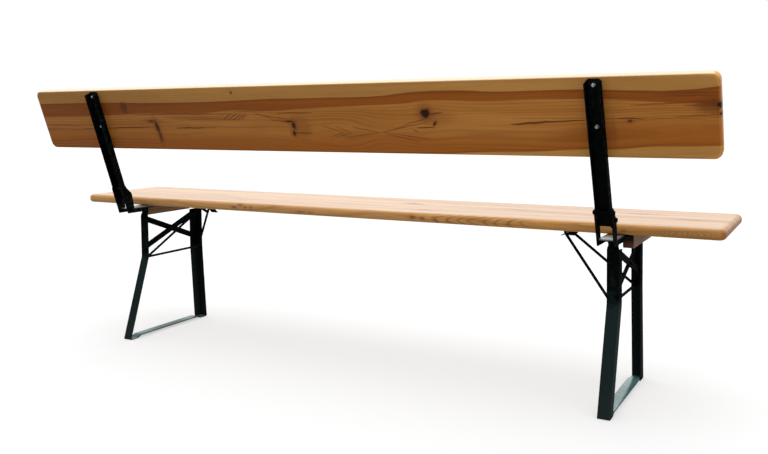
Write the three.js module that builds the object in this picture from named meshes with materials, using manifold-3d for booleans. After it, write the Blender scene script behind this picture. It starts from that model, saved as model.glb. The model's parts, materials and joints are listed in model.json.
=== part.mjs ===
// Folding bench with a fold-down backrest: two softwood planks on two hinged angle-steel leg frames.
// Millimetres, +Z up, X along the bench, the front edge of the seat towards -Y and the backrest at +Y.
// While it is built, Y = 0 is the rear edge of the seat plank; the last lines centre the whole bench.
import * as THREE from "three";
import { mergeVertices } from "three/addons/utils/BufferGeometryUtils.js";
import Module from "manifold-3d";

const wasm = await Module();
wasm.setup();

// Seat plank
const seatLength = 2188;
const seatDepth = 350;
const seatThickness = 28;
const seatTop = 482;
const seatShift = 4; // the plank sits this far off the middle of the leg frames
const seatEdgeRound = 9;
const seatCornerRound = 18;
const seatUnder = seatTop - seatThickness;

// Clearances
const seatGap = 0.3; // between pieces that rest on each other
const turnGap = 0.5; // between pieces that turn past each other
const holeGap = 0.3; // round a shank, on the radius
const overrun = 5; // cutting bars run this far past the faces they cut
const weldTolerance = 1e-4; // vertices closer than this are one

// Leg frames: bent angle, seen from the side, with a flat floor bar
const legSetback = 259; // of the outer faces of the leg frames from the ends of the seat
const legWidth = 32;
const legWall = 3;
const rearLegY = 1;
const legSpread = 277.5; // from the rear face of the rear legs to the front face of the front legs
const legBendZ = 274;
const rearSplay = 92; // how far the feet stand out from the upright part of the legs
const frontSplay = 16.5;
const legBendRound = 26;
const footRound = 5;
const footPad = 34; // length of the part of the floor bar that stands on the ground
const footStep = 16;
const floorBarLift = 7;
const legPivotDrop = 38; // of the hinge pins below the seat
const legPivotRadius = 4;
const legTopRadius = legWidth / 2 - turnGap;
const legOuterX = seatLength / 2 - legSetback;
const legPivotZ = seatUnder - legPivotDrop;
const flangeTopDrop = 2; // the side flange stops this far below the hinge pins
const flangeTopZ = legPivotZ - flangeTopDrop;
const legCentreX = legOuterX - legWidth / 2;
const frontLegY = rearLegY - legSpread;
const rearFootY = rearLegY + rearSplay;
const frontFootY = frontLegY - frontSplay;

// Crossed braces on the inner face of the side flanges, their ends given below the hinge pins
const braceWidth = 20;
const braceThickness = 3;
const braceInset = 19; // of the rivets from the outer faces of the legs
const lowBraceRearDrop = 12;
const lowBraceFrontDrop = 102;
const highBraceRearDrop = 107;
const highBraceFrontDrop = 14;
const braceBossRadius = 6.7;
const braceRivetRadius = 2.5;
const braceRivetHead = 4.6;
const braceRivetRise = 2.4;

// Backrest plank
const backOverhang = 6; // past the ends of the seat
const backHeight = 203;
const backThickness = 26;
const backCornerRound = 20;
const backEdgeRound = 3;
const backRise = 141; // from the backrest pivot, along the strut, to the lower edge of the plank
const backLength = seatLength + 2 * backOverhang;
const backRecline = THREE.MathUtils.degToRad(19);

// Backrest struts, channels open to the rear, on pivots behind and above the seat
const strutInset = 12; // of the middle of the strut from the outer face of the leg
const strutX = legOuterX - strutInset;
const strutWidth = 38;
const strutDepth = 22;
const strutWall = 2.5;
const strutTopReach = 339; // from the pivot along the strut to its top end
const strutTopChamfer = 6;
const strutTailRise = 4.5; // of the level bottom cut above the seat
const backPivotY = 107;
const backPivotRise = 41; // above the seat
const backPivotZ = seatTop + backPivotRise;
const backPivotRadius = 4;

// Bolts that hold the backrest plank: flush heads in its front face, nuts inside the struts
const strutBoltReaches = [222, 325];
const strutBoltRadius = 3;
const strutBoltHeadRadius = 6;
const strutBoltHeadDepth = 3.3;
const strutBoltTail = 2.5; // of the bolt past its nut
const strutNutRadius = 5.8;
const strutNutHeight = 5;
const strutWasherRadius = 7;

// Sockets that carry the struts, placed from the backrest pivots and the legs
const cheekThickness = 2.6;
const cheekEarRadius = 11.5;
const cheekTipDrop = 17.5; // of the lower edge of the cheeks below the seat
const cheekToeGap = 2; // the cheeks end this far behind the rear legs
const cheekNeckSetback = 45;
const cheekNeckTopSetback = 35;
const cheekNeckTopDrop = 20;
const stopReach = 27; // stop bolt below the pivot, along the strut
const stopRadius = 3;
const stopSpacerRadius = 5;
const socketWebSetback = 27;
const socketWebThickness = 3;
const cheekTipZ = seatUnder - cheekTipDrop;
const cheekToeY = rearLegY + cheekToeGap;
const cheekNeckY = backPivotY - cheekNeckSetback;
const cheekNeckTopY = backPivotY - cheekNeckTopSetback;
const cheekNeckTopZ = backPivotZ - cheekNeckTopDrop;
const socketWebRearY = backPivotY - socketWebSetback;
const socketHalf = strutWidth / 2 + turnGap + cheekThickness;

// Galvanised base plates between the sockets and the seat
const basePlateThickness = 3;
const basePlateSetback = 23; // of the rear edge from the backrest pivots
const basePlateInset = 63; // of the front edge from the rear legs
const plateScrewInsets = [23, 51];
const basePlateRearY = backPivotY - basePlateSetback;
const basePlateFrontY = rearLegY - basePlateInset;
const plateTop = seatUnder - seatGap;
const plateBottom = plateTop - basePlateThickness;
const plateScrewY = plateScrewInsets.map((inset) => rearLegY - inset);

// Lock rod: a closed loop of round bar, its wide end turning in the legs, its narrow end in a catch
const rodRadius = 4;
const rodLoopInset = 20; // of its turning axis from the outer face of the leg
const rodLoopDrop = 1.5; // of its turning axis below the bend of the legs
const rodReach = 156; // from the turning axis towards the middle of the bench
const rodHookDrop = 16; // of the hooked end below the seat
const rodWideInset = 8; // of the arms from the outer faces of the legs at the wide end
const rodNarrowWidth = 49;
const rodHookOffset = 8; // the narrow end lies this far behind the middle of the legs
const rodBendRound = 9;
const rodHeadRadius = 6.5;
const rodHeadThickness = 2;
const rodLoopX = legOuterX - rodLoopInset;
const rodLoopZ = legBendZ - rodLoopDrop;
const rodHookX = rodLoopX - rodReach;
const rodHookZ = seatUnder - rodHookDrop;
const rodHookY = (rearLegY + frontLegY) / 2 + rodHookOffset;

// Catch of the lock rod, placed from the hooked end of the rod
const catchWidth = 17;
const catchLeafWidth = 34;
const catchLeafReach = 90; // towards the middle of the bench
const catchThickness = 3;
const catchScrewInset = 14;
const catchScrewPitch = 44;
const catchLipSlope = THREE.MathUtils.degToRad(24);
const catchLipLength = 15;
const catchCheekInset = 45; // of the side cheek from the middle of the rod's narrow end
const catchCheekReach = 17; // of the cheek past the hooked end, towards the leg
const catchCheekNose = 22; // of the cheek past the hooked end, the other way
const catchCheekWaist = 10; // of the cheek above its nose, and of its inner edge past the hooked end
const catchCheekDrop = 20; // of its lower edge below the hooked end
const catchCheekCut = 9.5; // of its lower corner beside the leg
const catchInnerX = rodHookX - catchLeafReach;
const catchScrewX = [catchInnerX + catchScrewInset, catchInnerX + catchScrewInset + catchScrewPitch];

// Hinge brackets of the leg frames
const hingeThickness = 3;
const hingeEarRadius = 12;
const hingeLeafDepth = 29.5;
const rearLeafReach = 22; // the rear leaf reaches out this far past the leg, behind the batten
const frontScrewShare = 0.65; // of the depth of the front leaf
const hingeLeafInnerX = legOuterX - legWidth;
const frontLeafOuterX = legOuterX - turnGap;
const rearLeafOuterX = legOuterX + rearLeafReach;

// Battens that stop the leg frames
const battenWidth = 28;
const battenHeight = 38;
const battenRearInset = 34; // of its ends from the legs
const battenFrontInset = 26.5;
const battenRound = 7;
const battenRearY = rearLegY - battenRearInset;
const battenFrontY = frontLegY + battenFrontInset;

// Fasteners
const screwHeadRadius = 6.5;
const screwHeadRise = 2.2;
const screwShankRadius = 2.4;
const screwDepth = 17;
const hexRadius = 7.4;
const hexHeight = 5.2;
const washerRadius = 9;
const washerThickness = 1.6;
const pivotHeadRadius = 7.5;
const pivotHeadThickness = 2.4;
const boreRadius = screwShankRadius + holeGap;
const roundSides = 16;
const smallSides = 10;

const rise = new THREE.Vector2(Math.sin(backRecline), Math.cos(backRecline));
const ahead = new THREE.Vector2(-Math.cos(backRecline), Math.sin(backRecline));

const paint = { color: 0x10201c, roughness: 0.38, metalness: 0.5 };
const zinc = { color: 0xb9bdbd, roughness: 0.42, metalness: 0.9 };
const wood = { color: 0xcf9458, roughness: 0.5, metalness: 0 };
const battenWood = { color: 0xa8693a, roughness: 0.6, metalness: 0 };

// A closed solid of a geometry, for joining and cutting.
function solid(geometry) {
  const plain = geometry.index ? geometry.toNonIndexed() : geometry.clone();
  plain.deleteAttribute("normal");
  plain.deleteAttribute("uv");
  const merged = mergeVertices(plain, weldTolerance);
  return new wasm.Manifold(
    new wasm.Mesh({
      numProp: 3,
      vertProperties: merged.attributes.position.array,
      triVerts: new Uint32Array(merged.index.array),
    }),
  );
}

// The geometry of a solid, with flat-shaded normals.
function geometryOf(body) {
  const m = body.getMesh();
  const positions = new Float32Array(m.numVert * 3);
  for (let i = 0; i < m.numVert; i++) {
    for (let k = 0; k < 3; k++) {
      positions[i * 3 + k] = m.vertProperties[i * m.numProp + k];
    }
  }
  const g = new THREE.BufferGeometry();
  g.setAttribute("position", new THREE.BufferAttribute(positions, 3));
  g.setIndex(new THREE.BufferAttribute(m.triVerts, 1));
  const flat = g.toNonIndexed();
  flat.computeVertexNormals();
  return flat;
}

const joined = (...bodies) => bodies.reduce((a, b) => a.add(b));

function shapeOf(points) {
  const shape = new THREE.Shape();
  points.forEach(([a, b], i) => (i ? shape.lineTo(a, b) : shape.moveTo(a, b)));
  shape.closePath();
  return shape;
}

function extruded(shape, depth, extra = {}) {
  return new THREE.ExtrudeGeometry(shape, { depth, bevelEnabled: false, curveSegments: 10, ...extra });
}

// An outline in Y and Z, extruded along X from x0 to x1.
const sideFrame = new THREE.Matrix4().makeBasis(
  new THREE.Vector3(0, 1, 0),
  new THREE.Vector3(0, 0, 1),
  new THREE.Vector3(1, 0, 0),
);
function sideways(shape, x0, x1) {
  return extruded(shape, x1 - x0)
    .applyMatrix4(sideFrame)
    .translate(x0, 0, 0);
}

// An outline in X and Z, extruded along Y from y0 (front) to y1 (rear).
function lengthways(shape, y0, y1) {
  return extruded(shape, y1 - y0)
    .rotateX(Math.PI / 2)
    .translate(0, y1, 0);
}

function block(x0, x1, y0, y1, z0, z1) {
  return new THREE.BoxGeometry(x1 - x0, y1 - y0, z1 - z0).translate(
    (x0 + x1) / 2,
    (y0 + y1) / 2,
    (z0 + z1) / 2,
  );
}

// Round bars along the three axes, given by their ends.
const barZ = (x, y, z0, z1, r, sides = roundSides) =>
  new THREE.CylinderGeometry(r, r, z1 - z0, sides).rotateX(Math.PI / 2).translate(x, y, (z0 + z1) / 2);
const barY = (x, z, y0, y1, r, sides = roundSides) =>
  new THREE.CylinderGeometry(r, r, y1 - y0, sides).translate(x, (y0 + y1) / 2, z);
const barX = (y, z, x0, x1, r, sides = roundSides) =>
  new THREE.CylinderGeometry(r, r, x1 - x0, sides).rotateZ(Math.PI / 2).translate((x0 + x1) / 2, y, z);

// A rounded head: a low dome on the +Z side of the origin.
function dome(radius, riseZ) {
  const profile = [new THREE.Vector2(0, 0)];
  const steps = 3;
  for (let i = 0; i < steps; i++) {
    const a = (i / steps) * (Math.PI / 2);
    profile.push(new THREE.Vector2(radius * Math.cos(a), riseZ * Math.sin(a)));
  }
  profile.push(new THREE.Vector2(0, riseZ));
  return new THREE.LatheGeometry(profile, smallSides).rotateX(Math.PI / 2);
}

// Points along a path with its inner corners rounded; corners are [y, z, radius].
function roundedPath(corners) {
  const out = [];
  const steps = 5;
  corners.forEach(([y, z, radius], i) => {
    const here = new THREE.Vector2(y, z);
    if (!radius || !i || i === corners.length - 1) {
      out.push(here);
      return;
    }
    const before = new THREE.Vector2(...corners[i - 1].slice(0, 2)).sub(here);
    const after = new THREE.Vector2(...corners[i + 1].slice(0, 2)).sub(here);
    const half = before.angleTo(after) / 2;
    const reach = Math.min(radius / Math.tan(half), before.length() / 2, after.length() / 2);
    const a = here.clone().add(before.setLength(reach));
    const b = here.clone().add(after.setLength(reach));
    const curve = new THREE.QuadraticBezierCurve(a, here, b);
    out.push(...curve.getPoints(steps));
  });
  return out;
}

// A strip of even width on the right-hand side of a path, as an outline.
function strip(path, width) {
  const inner = path.map((p, i) => {
    const before = i ? p.clone().sub(path[i - 1]).normalize() : null;
    const after = i < path.length - 1 ? path[i + 1].clone().sub(p).normalize() : null;
    const u = before || after;
    const v = after || before;
    const n1 = new THREE.Vector2(u.y, -u.x);
    const n2 = new THREE.Vector2(v.y, -v.x);
    const mid = n1.clone().add(n2).normalize();
    return p.clone().add(mid.multiplyScalar(width / mid.dot(n1)));
  });
  return shapeOf([...path, ...inner.reverse()].map((p) => [p.x, p.y]));
}

// A plank: a rectangle with rounded corners, all its long edges rounded, lying in X and Y.
function plank(length, width, thickness, corner, round) {
  const [a, b] = [length / 2 - round, width / 2 - round];
  const shape = new THREE.Shape();
  const r = corner - round;
  shape.moveTo(-a + r, -b);
  shape.lineTo(a - r, -b);
  shape.absarc(a - r, -b + r, r, -Math.PI / 2, 0, false);
  shape.lineTo(a, b - r);
  shape.absarc(a - r, b - r, r, 0, Math.PI / 2, false);
  shape.lineTo(-a + r, b);
  shape.absarc(-a + r, b - r, r, Math.PI / 2, Math.PI, false);
  shape.lineTo(-a, -b + r);
  shape.absarc(-a + r, -b + r, r, Math.PI, Math.PI * 1.5, false);
  return extruded(shape, thickness - 2 * round, {
    bevelEnabled: true,
    bevelThickness: round,
    bevelSize: round,
    bevelSegments: 4,
    curveSegments: 6,
  }).translate(0, 0, round);
}

// A flat bar with round ends between two points in Y and Z, and holes at given points.
function flatBar([y0, z0], [y1, z1], width, x0, x1, holes) {
  const a = new THREE.Vector2(y0, z0);
  const b = new THREE.Vector2(y1, z1);
  const turn = b.clone().sub(a).angle();
  const shape = new THREE.Shape();
  shape.absarc(a.x, a.y, width / 2, turn + Math.PI / 2, turn + Math.PI * 1.5, false);
  shape.absarc(b.x, b.y, width / 2, turn - Math.PI / 2, turn + Math.PI / 2, false);
  shape.closePath();
  for (const [y, z] of holes) {
    const hole = new THREE.Path();
    hole.absarc(y, z, braceRivetRadius + holeGap, 0, Math.PI * 2, true);
    shape.holes.push(hole);
  }
  return sideways(shape, x0, x1);
}

// A round bar along a path that lies in one plane, with flat ends.
function bentBar(path, radius, across) {
  const sides = smallSides;
  const positions = [];
  const index = [];
  path.forEach((p, i) => {
    const before = (i ? p.clone().sub(path[i - 1]) : path[1].clone().sub(p)).normalize();
    const after = (i < path.length - 1 ? path[i + 1].clone().sub(p) : p.clone().sub(path[i - 1])).normalize();
    const along = before.clone().add(after).normalize();
    const side = across.clone().cross(along).multiplyScalar(1 / before.dot(along));
    for (let k = 0; k < sides; k++) {
      const a = (k / sides) * Math.PI * 2;
      const q = p.clone().addScaledVector(across, radius * Math.cos(a));
      q.addScaledVector(side, radius * Math.sin(a));
      positions.push(q.x, q.y, q.z);
    }
  });
  for (let i = 0; i < path.length - 1; i++) {
    for (let k = 0; k < sides; k++) {
      const [a, b] = [i * sides + k, i * sides + ((k + 1) % sides)];
      index.push(a, a + sides, b, b, a + sides, b + sides);
    }
  }
  const last = (path.length - 1) * sides;
  for (let k = 1; k < sides - 1; k++) {
    index.push(0, k, k + 1, last, last + k + 1, last + k);
  }
  const g = new THREE.BufferGeometry();
  g.setAttribute("position", new THREE.Float32BufferAttribute(positions, 3));
  g.setIndex(index);
  return g;
}

const group = new THREE.Group();
group.name = "folding_bench";

function node(name, geometry, finish, parent = group) {
  const mesh = new THREE.Mesh(geometry, new THREE.MeshStandardMaterial(finish));
  mesh.name = name;
  parent.add(mesh);
  return mesh;
}

// The two ends of the bench: everything in an end group is built for +X and mirrored for the other.
const ends = [1, -1].map((side) => {
  const end = new THREE.Group();
  end.name = side > 0 ? "right_end" : "left_end";
  end.scale.x = side;
  group.add(end);
  return { side, tag: side > 0 ? "right" : "left", end };
});

// Screw with a domed head that sits on the z = 0 plane and points down into wood.
function screwGeometry(grip) {
  const shank = solid(barZ(0, 0, -grip - screwDepth, screwHeadRise / 2, screwShankRadius, smallSides));
  return geometryOf(joined(solid(dome(screwHeadRadius, screwHeadRise)), shank));
}

// Each strut: two flanges and a web, the bottom cut level.
function strutGeometry() {
  const half = strutDepth / 2;
  const drop = backPivotRise - strutTailRise;
  const tailAt = (y) => (-drop + y * Math.sin(backRecline)) / Math.cos(backRecline);
  const flange = shapeOf([
    [-half, tailAt(-half)],
    [half, tailAt(half)],
    [half, strutTopReach],
    [-half, strutTopReach],
  ]);
  const webBack = strutWall - half;
  const web = shapeOf([
    [-half, tailAt(-half)],
    [webBack, tailAt(webBack)],
    [webBack, strutTopReach],
    [-half, strutTopReach],
  ]);
  const edge = strutWidth / 2;
  let body = joined(
    solid(sideways(flange, -edge, -edge + strutWall)),
    solid(sideways(flange, edge - strutWall, edge)),
    solid(sideways(web, -edge + strutWall / 2, edge - strutWall / 2)),
  );
  for (const s of [-1, 1]) {
    const corner = shapeOf([
      [s * (edge - strutTopChamfer), strutTopReach],
      [s * edge, strutTopReach - strutTopChamfer],
      [s * (edge + strutTopChamfer), strutTopReach],
      [s * edge, strutTopReach + strutTopChamfer],
    ]);
    body = body.subtract(solid(lengthways(corner, -strutDepth, strutDepth)));
  }
  body = body.subtract(solid(barX(0, 0, -strutWidth, strutWidth, backPivotRadius + holeGap)));
  for (const reach of strutBoltReaches) {
    body = body.subtract(solid(barY(0, reach, -strutDepth, 0, strutBoltRadius + holeGap, smallSides)));
  }
  return geometryOf(body);
}

// A bolt of the backrest along Z: flush head in front at -Z, washer and nut from z = 0 up.
function strutBoltGeometry() {
  const front = -(2 * seatGap + strutWall + backThickness) + seatGap;
  const nutTop = washerThickness + strutNutHeight;
  const neck = front + strutBoltHeadDepth / 2;
  const [narrow, wide] = [strutBoltRadius, strutBoltHeadRadius];
  const head = new THREE.CylinderGeometry(narrow, wide, strutBoltHeadDepth, smallSides);
  head.rotateX(Math.PI / 2).translate(0, 0, neck);
  return geometryOf(
    joined(
      solid(head),
      solid(barZ(0, 0, neck, nutTop + strutBoltTail, strutBoltRadius, smallSides)),
      solid(barZ(0, 0, 0, washerThickness, strutWasherRadius)),
      solid(barZ(0, 0, washerThickness, nutTop, strutNutRadius, 6)),
    ),
  );
}

// A through bolt along X: hex head and washer on one side, nut and washer on the other.
function boltGeometry(halfGrip, radius, spacerRadius, spacerHalf) {
  const nearWasher = halfGrip + seatGap;
  const farWasher = nearWasher + washerThickness;
  const end = farWasher + hexHeight;
  const parts = [solid(barX(0, 0, -end, end + radius, radius))];
  for (const s of [-1, 1]) {
    const washer = [s * nearWasher, s * farWasher].sort((a, b) => a - b);
    const hex = [s * farWasher, s * end].sort((a, b) => a - b);
    parts.push(solid(barX(0, 0, ...washer, washerRadius)));
    parts.push(solid(barX(0, 0, ...hex, hexRadius, 6)));
  }
  if (spacerRadius) parts.push(solid(barX(0, 0, -spacerHalf, spacerHalf, spacerRadius)));
  return geometryOf(joined(...parts));
}

const stopPoint = new THREE.Vector2(backPivotY, backPivotZ)
  .addScaledVector(rise, -stopReach)
  .addScaledVector(ahead, strutDepth / 2 + turnGap + stopSpacerRadius);
const webTop = plateBottom - seatGap;
const webBottom = webTop - socketWebThickness;

// Each socket: two cheeks with a round ear, a leaning neck and a toe under the plate, and a web.
function socketGeometry() {
  const shape = new THREE.Shape();
  const rearEdge = (z) => {
    const edgeY = backPivotY + cheekEarRadius / Math.cos(backRecline);
    return edgeY - (backPivotZ - z) * Math.tan(backRecline);
  };
  const earFront = Math.PI - backRecline / 2;
  shape.moveTo(cheekToeY, cheekTipZ);
  shape.lineTo(rearEdge(cheekTipZ), cheekTipZ);
  shape.absarc(backPivotY, backPivotZ, cheekEarRadius, -backRecline, earFront, false);
  shape.lineTo(cheekNeckTopY, cheekNeckTopZ);
  shape.lineTo(cheekNeckY, plateTop);
  shape.lineTo(cheekNeckY, plateBottom - seatGap);
  shape.lineTo(cheekToeY, plateBottom - seatGap);
  shape.closePath();
  let body = joined(
    solid(sideways(shape, -socketHalf, -socketHalf + cheekThickness)),
    solid(sideways(shape, socketHalf - cheekThickness, socketHalf)),
    solid(
      block(
        cheekThickness / 2 - socketHalf,
        socketHalf - cheekThickness / 2,
        cheekToeY,
        socketWebRearY,
        webBottom,
        webTop,
      ),
    ),
  );
  const through = 2 * socketHalf;
  body = body.subtract(solid(barX(backPivotY, backPivotZ, -through, through, backPivotRadius + holeGap)));
  body = body.subtract(solid(barX(stopPoint.x, stopPoint.y, -through, through, stopRadius + holeGap)));
  return geometryOf(body);
}

// Each base plate: wide over the toes, narrow between the cheeks, cut back beside the batten.
function basePlateGeometry() {
  const wide = socketHalf;
  const narrow = socketHalf - cheekThickness - seatGap;
  const step = cheekNeckY - turnGap;
  const besideBatten = legOuterX - strutX - turnGap;
  const behindBatten = battenRearY + 2 * turnGap;
  const shape = shapeOf([
    [-wide, basePlateFrontY],
    [besideBatten, basePlateFrontY],
    [besideBatten, behindBatten],
    [wide, behindBatten],
    [wide, step],
    [narrow, step],
    [narrow, basePlateRearY],
    [-narrow, basePlateRearY],
    [-narrow, step],
    [-wide, step],
  ]);
  let body = solid(extruded(shape, basePlateThickness).translate(0, 0, plateBottom));
  const cut = [plateBottom - overrun, plateTop + overrun];
  for (const y of plateScrewY) {
    body = body.subtract(solid(barZ(0, y, ...cut, boreRadius, smallSides)));
  }
  return geometryOf(body);
}

// The ends of the braces, rear and front, as [y, z]
const braceRearY = rearLegY - braceInset;
const braceFrontY = frontLegY + braceInset;
const lowBrace = [
  [braceRearY, legPivotZ - lowBraceRearDrop],
  [braceFrontY, legPivotZ - lowBraceFrontDrop],
];
const highBrace = [
  [braceRearY, legPivotZ - highBraceRearDrop],
  [braceFrontY, legPivotZ - highBraceFrontDrop],
];
const flangeInnerX = legOuterX - legWall;

// The path of a leg frame's outer face, from the top of the rear leg round to the top of the front leg.
const legTopZ = legPivotZ + legTopRadius;
const framePath = roundedPath([
  [rearLegY, legTopZ, 0],
  [rearLegY, legBendZ, legBendRound],
  [rearFootY, 0, footRound],
  [rearFootY - footPad, 0, footRound],
  [rearFootY - footPad - footStep, floorBarLift, footRound],
  [frontFootY + footPad + footStep, floorBarLift, footRound],
  [frontFootY + footPad, 0, footRound],
  [frontFootY, 0, footRound],
  [frontLegY, legBendZ, legBendRound],
  [frontLegY, legTopZ, 0],
]);

// Where the outer face of a leg lies at a height.
function faceAt(z, wanted) {
  for (let i = 1; i < framePath.length; i++) {
    const [p, q] = [framePath[i - 1], framePath[i]];
    if ((p.y - z) * (q.y - z) <= 0 && p.y !== q.y && wanted(p.x)) {
      return THREE.MathUtils.mapLinear(z, p.y, q.y, p.x, q.x);
    }
  }
}

function legFrameGeometry() {
  // The side flanges run on below the floor and are cut by the outline of the whole frame.
  const below = 1 + legWidth / legBendZ;
  const flangePaths = [
    [
      [rearLegY, flangeTopZ, 0],
      [rearLegY, legBendZ, legBendRound],
      [rearLegY + rearSplay * below, -legWidth, 0],
    ],
    [
      [frontLegY - frontSplay * below, -legWidth, 0],
      [frontLegY, legBendZ, legBendRound],
      [frontLegY, flangeTopZ, 0],
    ],
  ];
  const outline = shapeOf(framePath.map((p) => [p.x, p.y]));
  const flanges = flangePaths.map((corners) => {
    const flange = strip(roundedPath(corners), legWidth);
    return solid(sideways(flange, flangeInnerX, legOuterX));
  });
  const sides = joined(...flanges).intersect(solid(sideways(outline, flangeInnerX - overrun, legOuterX)));
  let body = solid(sideways(strip(framePath, legWall), legOuterX - legWidth, legOuterX)).add(sides);
  // The tops are rounded about the hinge pins: what stands outside that circle goes.
  const top = new THREE.Shape();
  top.moveTo(legOuterX - legWidth - overrun, legPivotZ);
  top.lineTo(legCentreX - legTopRadius, legPivotZ);
  top.absarc(legCentreX, legPivotZ, legTopRadius, Math.PI, 0, true);
  top.lineTo(legOuterX + overrun, legPivotZ);
  top.lineTo(legOuterX + overrun, legTopZ + overrun);
  top.lineTo(legOuterX - legWidth - overrun, legTopZ + overrun);
  top.closePath();
  body = body.subtract(solid(lengthways(top, frontLegY - legWidth, rearLegY + legWidth)));
  const [y0, y1] = [frontFootY - legWidth, rearFootY + legWidth];
  body = body.subtract(solid(barY(legCentreX, legPivotZ, y0, y1, legPivotRadius + holeGap)));
  body = body.subtract(solid(barY(rodLoopX, rodLoopZ, y0, y1, rodRadius + holeGap)));
  for (const [y, z] of [...lowBrace, ...highBrace]) {
    body = body.subtract(
      solid(barX(y, z, legOuterX - legWidth, legOuterX + overrun, braceRivetRadius + holeGap, smallSides)),
    );
  }
  return geometryOf(body);
}

// Braces: the low one on the side flange, the high one on bosses over it; rivets hold both.
const lowBraceX = [flangeInnerX - seatGap - braceThickness, flangeInnerX - seatGap];
const highBraceX = [lowBraceX[0] - seatGap - braceThickness, lowBraceX[0] - seatGap];

function crossing() {
  const [a, b] = lowBrace;
  const [c, d] = highBrace;
  const slope1 = (b[1] - a[1]) / (b[0] - a[0]);
  const slope2 = (d[1] - c[1]) / (d[0] - c[0]);
  const y = (c[1] - a[1] + slope1 * a[0] - slope2 * c[0]) / (slope1 - slope2);
  return [y, a[1] + slope1 * (y - a[0])];
}
const braceCross = crossing();

function highBraceGeometry() {
  const holes = [...highBrace, braceCross];
  let body = solid(flatBar(...highBrace, braceWidth, ...highBraceX, holes));
  const cut = [highBraceX[0] - overrun, flangeInnerX + overrun];
  for (const [y, z] of highBrace) {
    body = body.add(solid(barX(y, z, highBraceX[1] - seatGap, flangeInnerX - seatGap, braceBossRadius)));
    body = body.subtract(solid(barX(y, z, ...cut, braceRivetRadius + holeGap, smallSides)));
  }
  return geometryOf(body);
}

// A rivet along X between two faces, with a dome on each.
function rivetGeometry([y, z], x0, x1) {
  const head = dome(braceRivetHead, braceRivetRise);
  return geometryOf(
    joined(
      solid(barX(y, z, x0 - seatGap, x1 + seatGap, braceRivetRadius, smallSides)),
      solid(head.clone().rotateY(Math.PI / 2).translate(x1 + seatGap, y, z)),
      solid(head.clone().rotateY(-Math.PI / 2).translate(x0 - seatGap, y, z)),
    ),
  );
}

// Lock rod: a bent loop closed by the bar that turns in the legs.
function lockRodGeometry() {
  const wide = (y) => new THREE.Vector3(rodLoopX, y, rodLoopZ);
  const tip = (y) => new THREE.Vector3(rodHookX, y, rodHookZ);
  const corners = [
    wide(rearLegY - rodWideInset),
    tip(rodHookY + rodNarrowWidth / 2),
    tip(rodHookY - rodNarrowWidth / 2),
    wide(frontLegY + rodWideInset),
  ];
  const path = [corners[0]];
  const steps = 6;
  for (const i of [1, 2]) {
    const before = corners[i - 1].clone().sub(corners[i]).setLength(rodBendRound);
    const after = corners[i + 1].clone().sub(corners[i]).setLength(rodBendRound);
    const curve = new THREE.QuadraticBezierCurve3(
      corners[i].clone().add(before),
      corners[i],
      corners[i].clone().add(after),
    );
    path.push(...curve.getPoints(steps));
  }
  path.push(corners[3]);
  const across = corners[1].clone().sub(corners[0]).cross(corners[2].clone().sub(corners[1])).normalize();
  const middle = (rearLegY + frontLegY) / 2;
  const rearFace = faceAt(rodLoopZ - rodHeadRadius, (y) => y > middle) + seatGap;
  const frontFace = faceAt(rodLoopZ - rodHeadRadius, (y) => y < middle) - seatGap;
  const [y0, y1] = [frontFace - rodHeadThickness, rearFace + rodHeadThickness];
  return geometryOf(
    joined(
      solid(bentBar(path, rodRadius, across)),
      solid(barY(rodLoopX, rodLoopZ, y0, y1, rodRadius, smallSides)),
      solid(barY(rodLoopX, rodLoopZ, y0, y0 + rodHeadThickness, rodHeadRadius)),
      solid(barY(rodLoopX, rodLoopZ, y1 - rodHeadThickness, y1, rodHeadRadius)),
    ),
  );
}

// Catch: a leaf under the seat, a drop at its outer end with a sloping lip under the rod, and a cheek
// in front of the loop.
const catchWallX = rodHookX + rodRadius + turnGap;
const lipTopZ = rodHookZ - (rodRadius + turnGap) / Math.cos(catchLipSlope);
function catchGeometry() {
  const lean = Math.tan(catchLipSlope);
  const lipAt = (x) => lipTopZ + (x - rodHookX) * lean;
  const tipX = rodHookX - catchLipLength;
  const outerX = catchWallX + catchThickness;
  const hook = shapeOf([
    [catchInnerX, plateTop],
    [catchInnerX, plateTop - catchThickness],
    [catchWallX, plateTop - catchThickness],
    [catchWallX, lipAt(catchWallX)],
    [tipX, lipAt(tipX)],
    [tipX, lipAt(tipX) - catchThickness],
    [outerX, lipAt(outerX) - catchThickness],
    [outerX, plateTop],
  ]);
  let body = solid(lengthways(hook, rodHookY - catchWidth / 2, rodHookY + catchWidth / 2));
  const leaf = block(
    catchInnerX,
    catchScrewX[1] + catchLeafWidth / 2,
    rodHookY - catchLeafWidth / 2,
    rodHookY + catchLeafWidth / 2,
    plateTop - catchThickness,
    plateTop,
  );
  const cheekY = rodHookY - catchCheekInset;
  const cheekLow = rodHookZ - catchCheekDrop;
  const [cheekIn, cheekOut] = [rodHookX - catchCheekWaist, rodHookX + catchCheekReach];
  const cheek = shapeOf([
    [cheekOut, plateTop],
    [cheekIn, plateTop],
    [cheekIn, cheekLow + catchCheekWaist],
    [rodHookX - catchCheekNose, cheekLow],
    [cheekOut - catchCheekCut, cheekLow],
    [cheekOut, cheekLow + catchCheekCut],
  ]);
  const shelf = block(cheekIn, outerX, cheekY, rodHookY, plateTop - catchThickness, plateTop);
  body = joined(body, solid(leaf), solid(lengthways(cheek, cheekY - catchThickness, cheekY)), solid(shelf));
  for (const x of catchScrewX) {
    const [low, high] = [plateTop - catchThickness - overrun, plateTop + overrun];
    body = body.subtract(solid(barZ(x, rodHookY, low, high, boreRadius, smallSides)));
  }
  return geometryOf(body);
}

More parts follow.
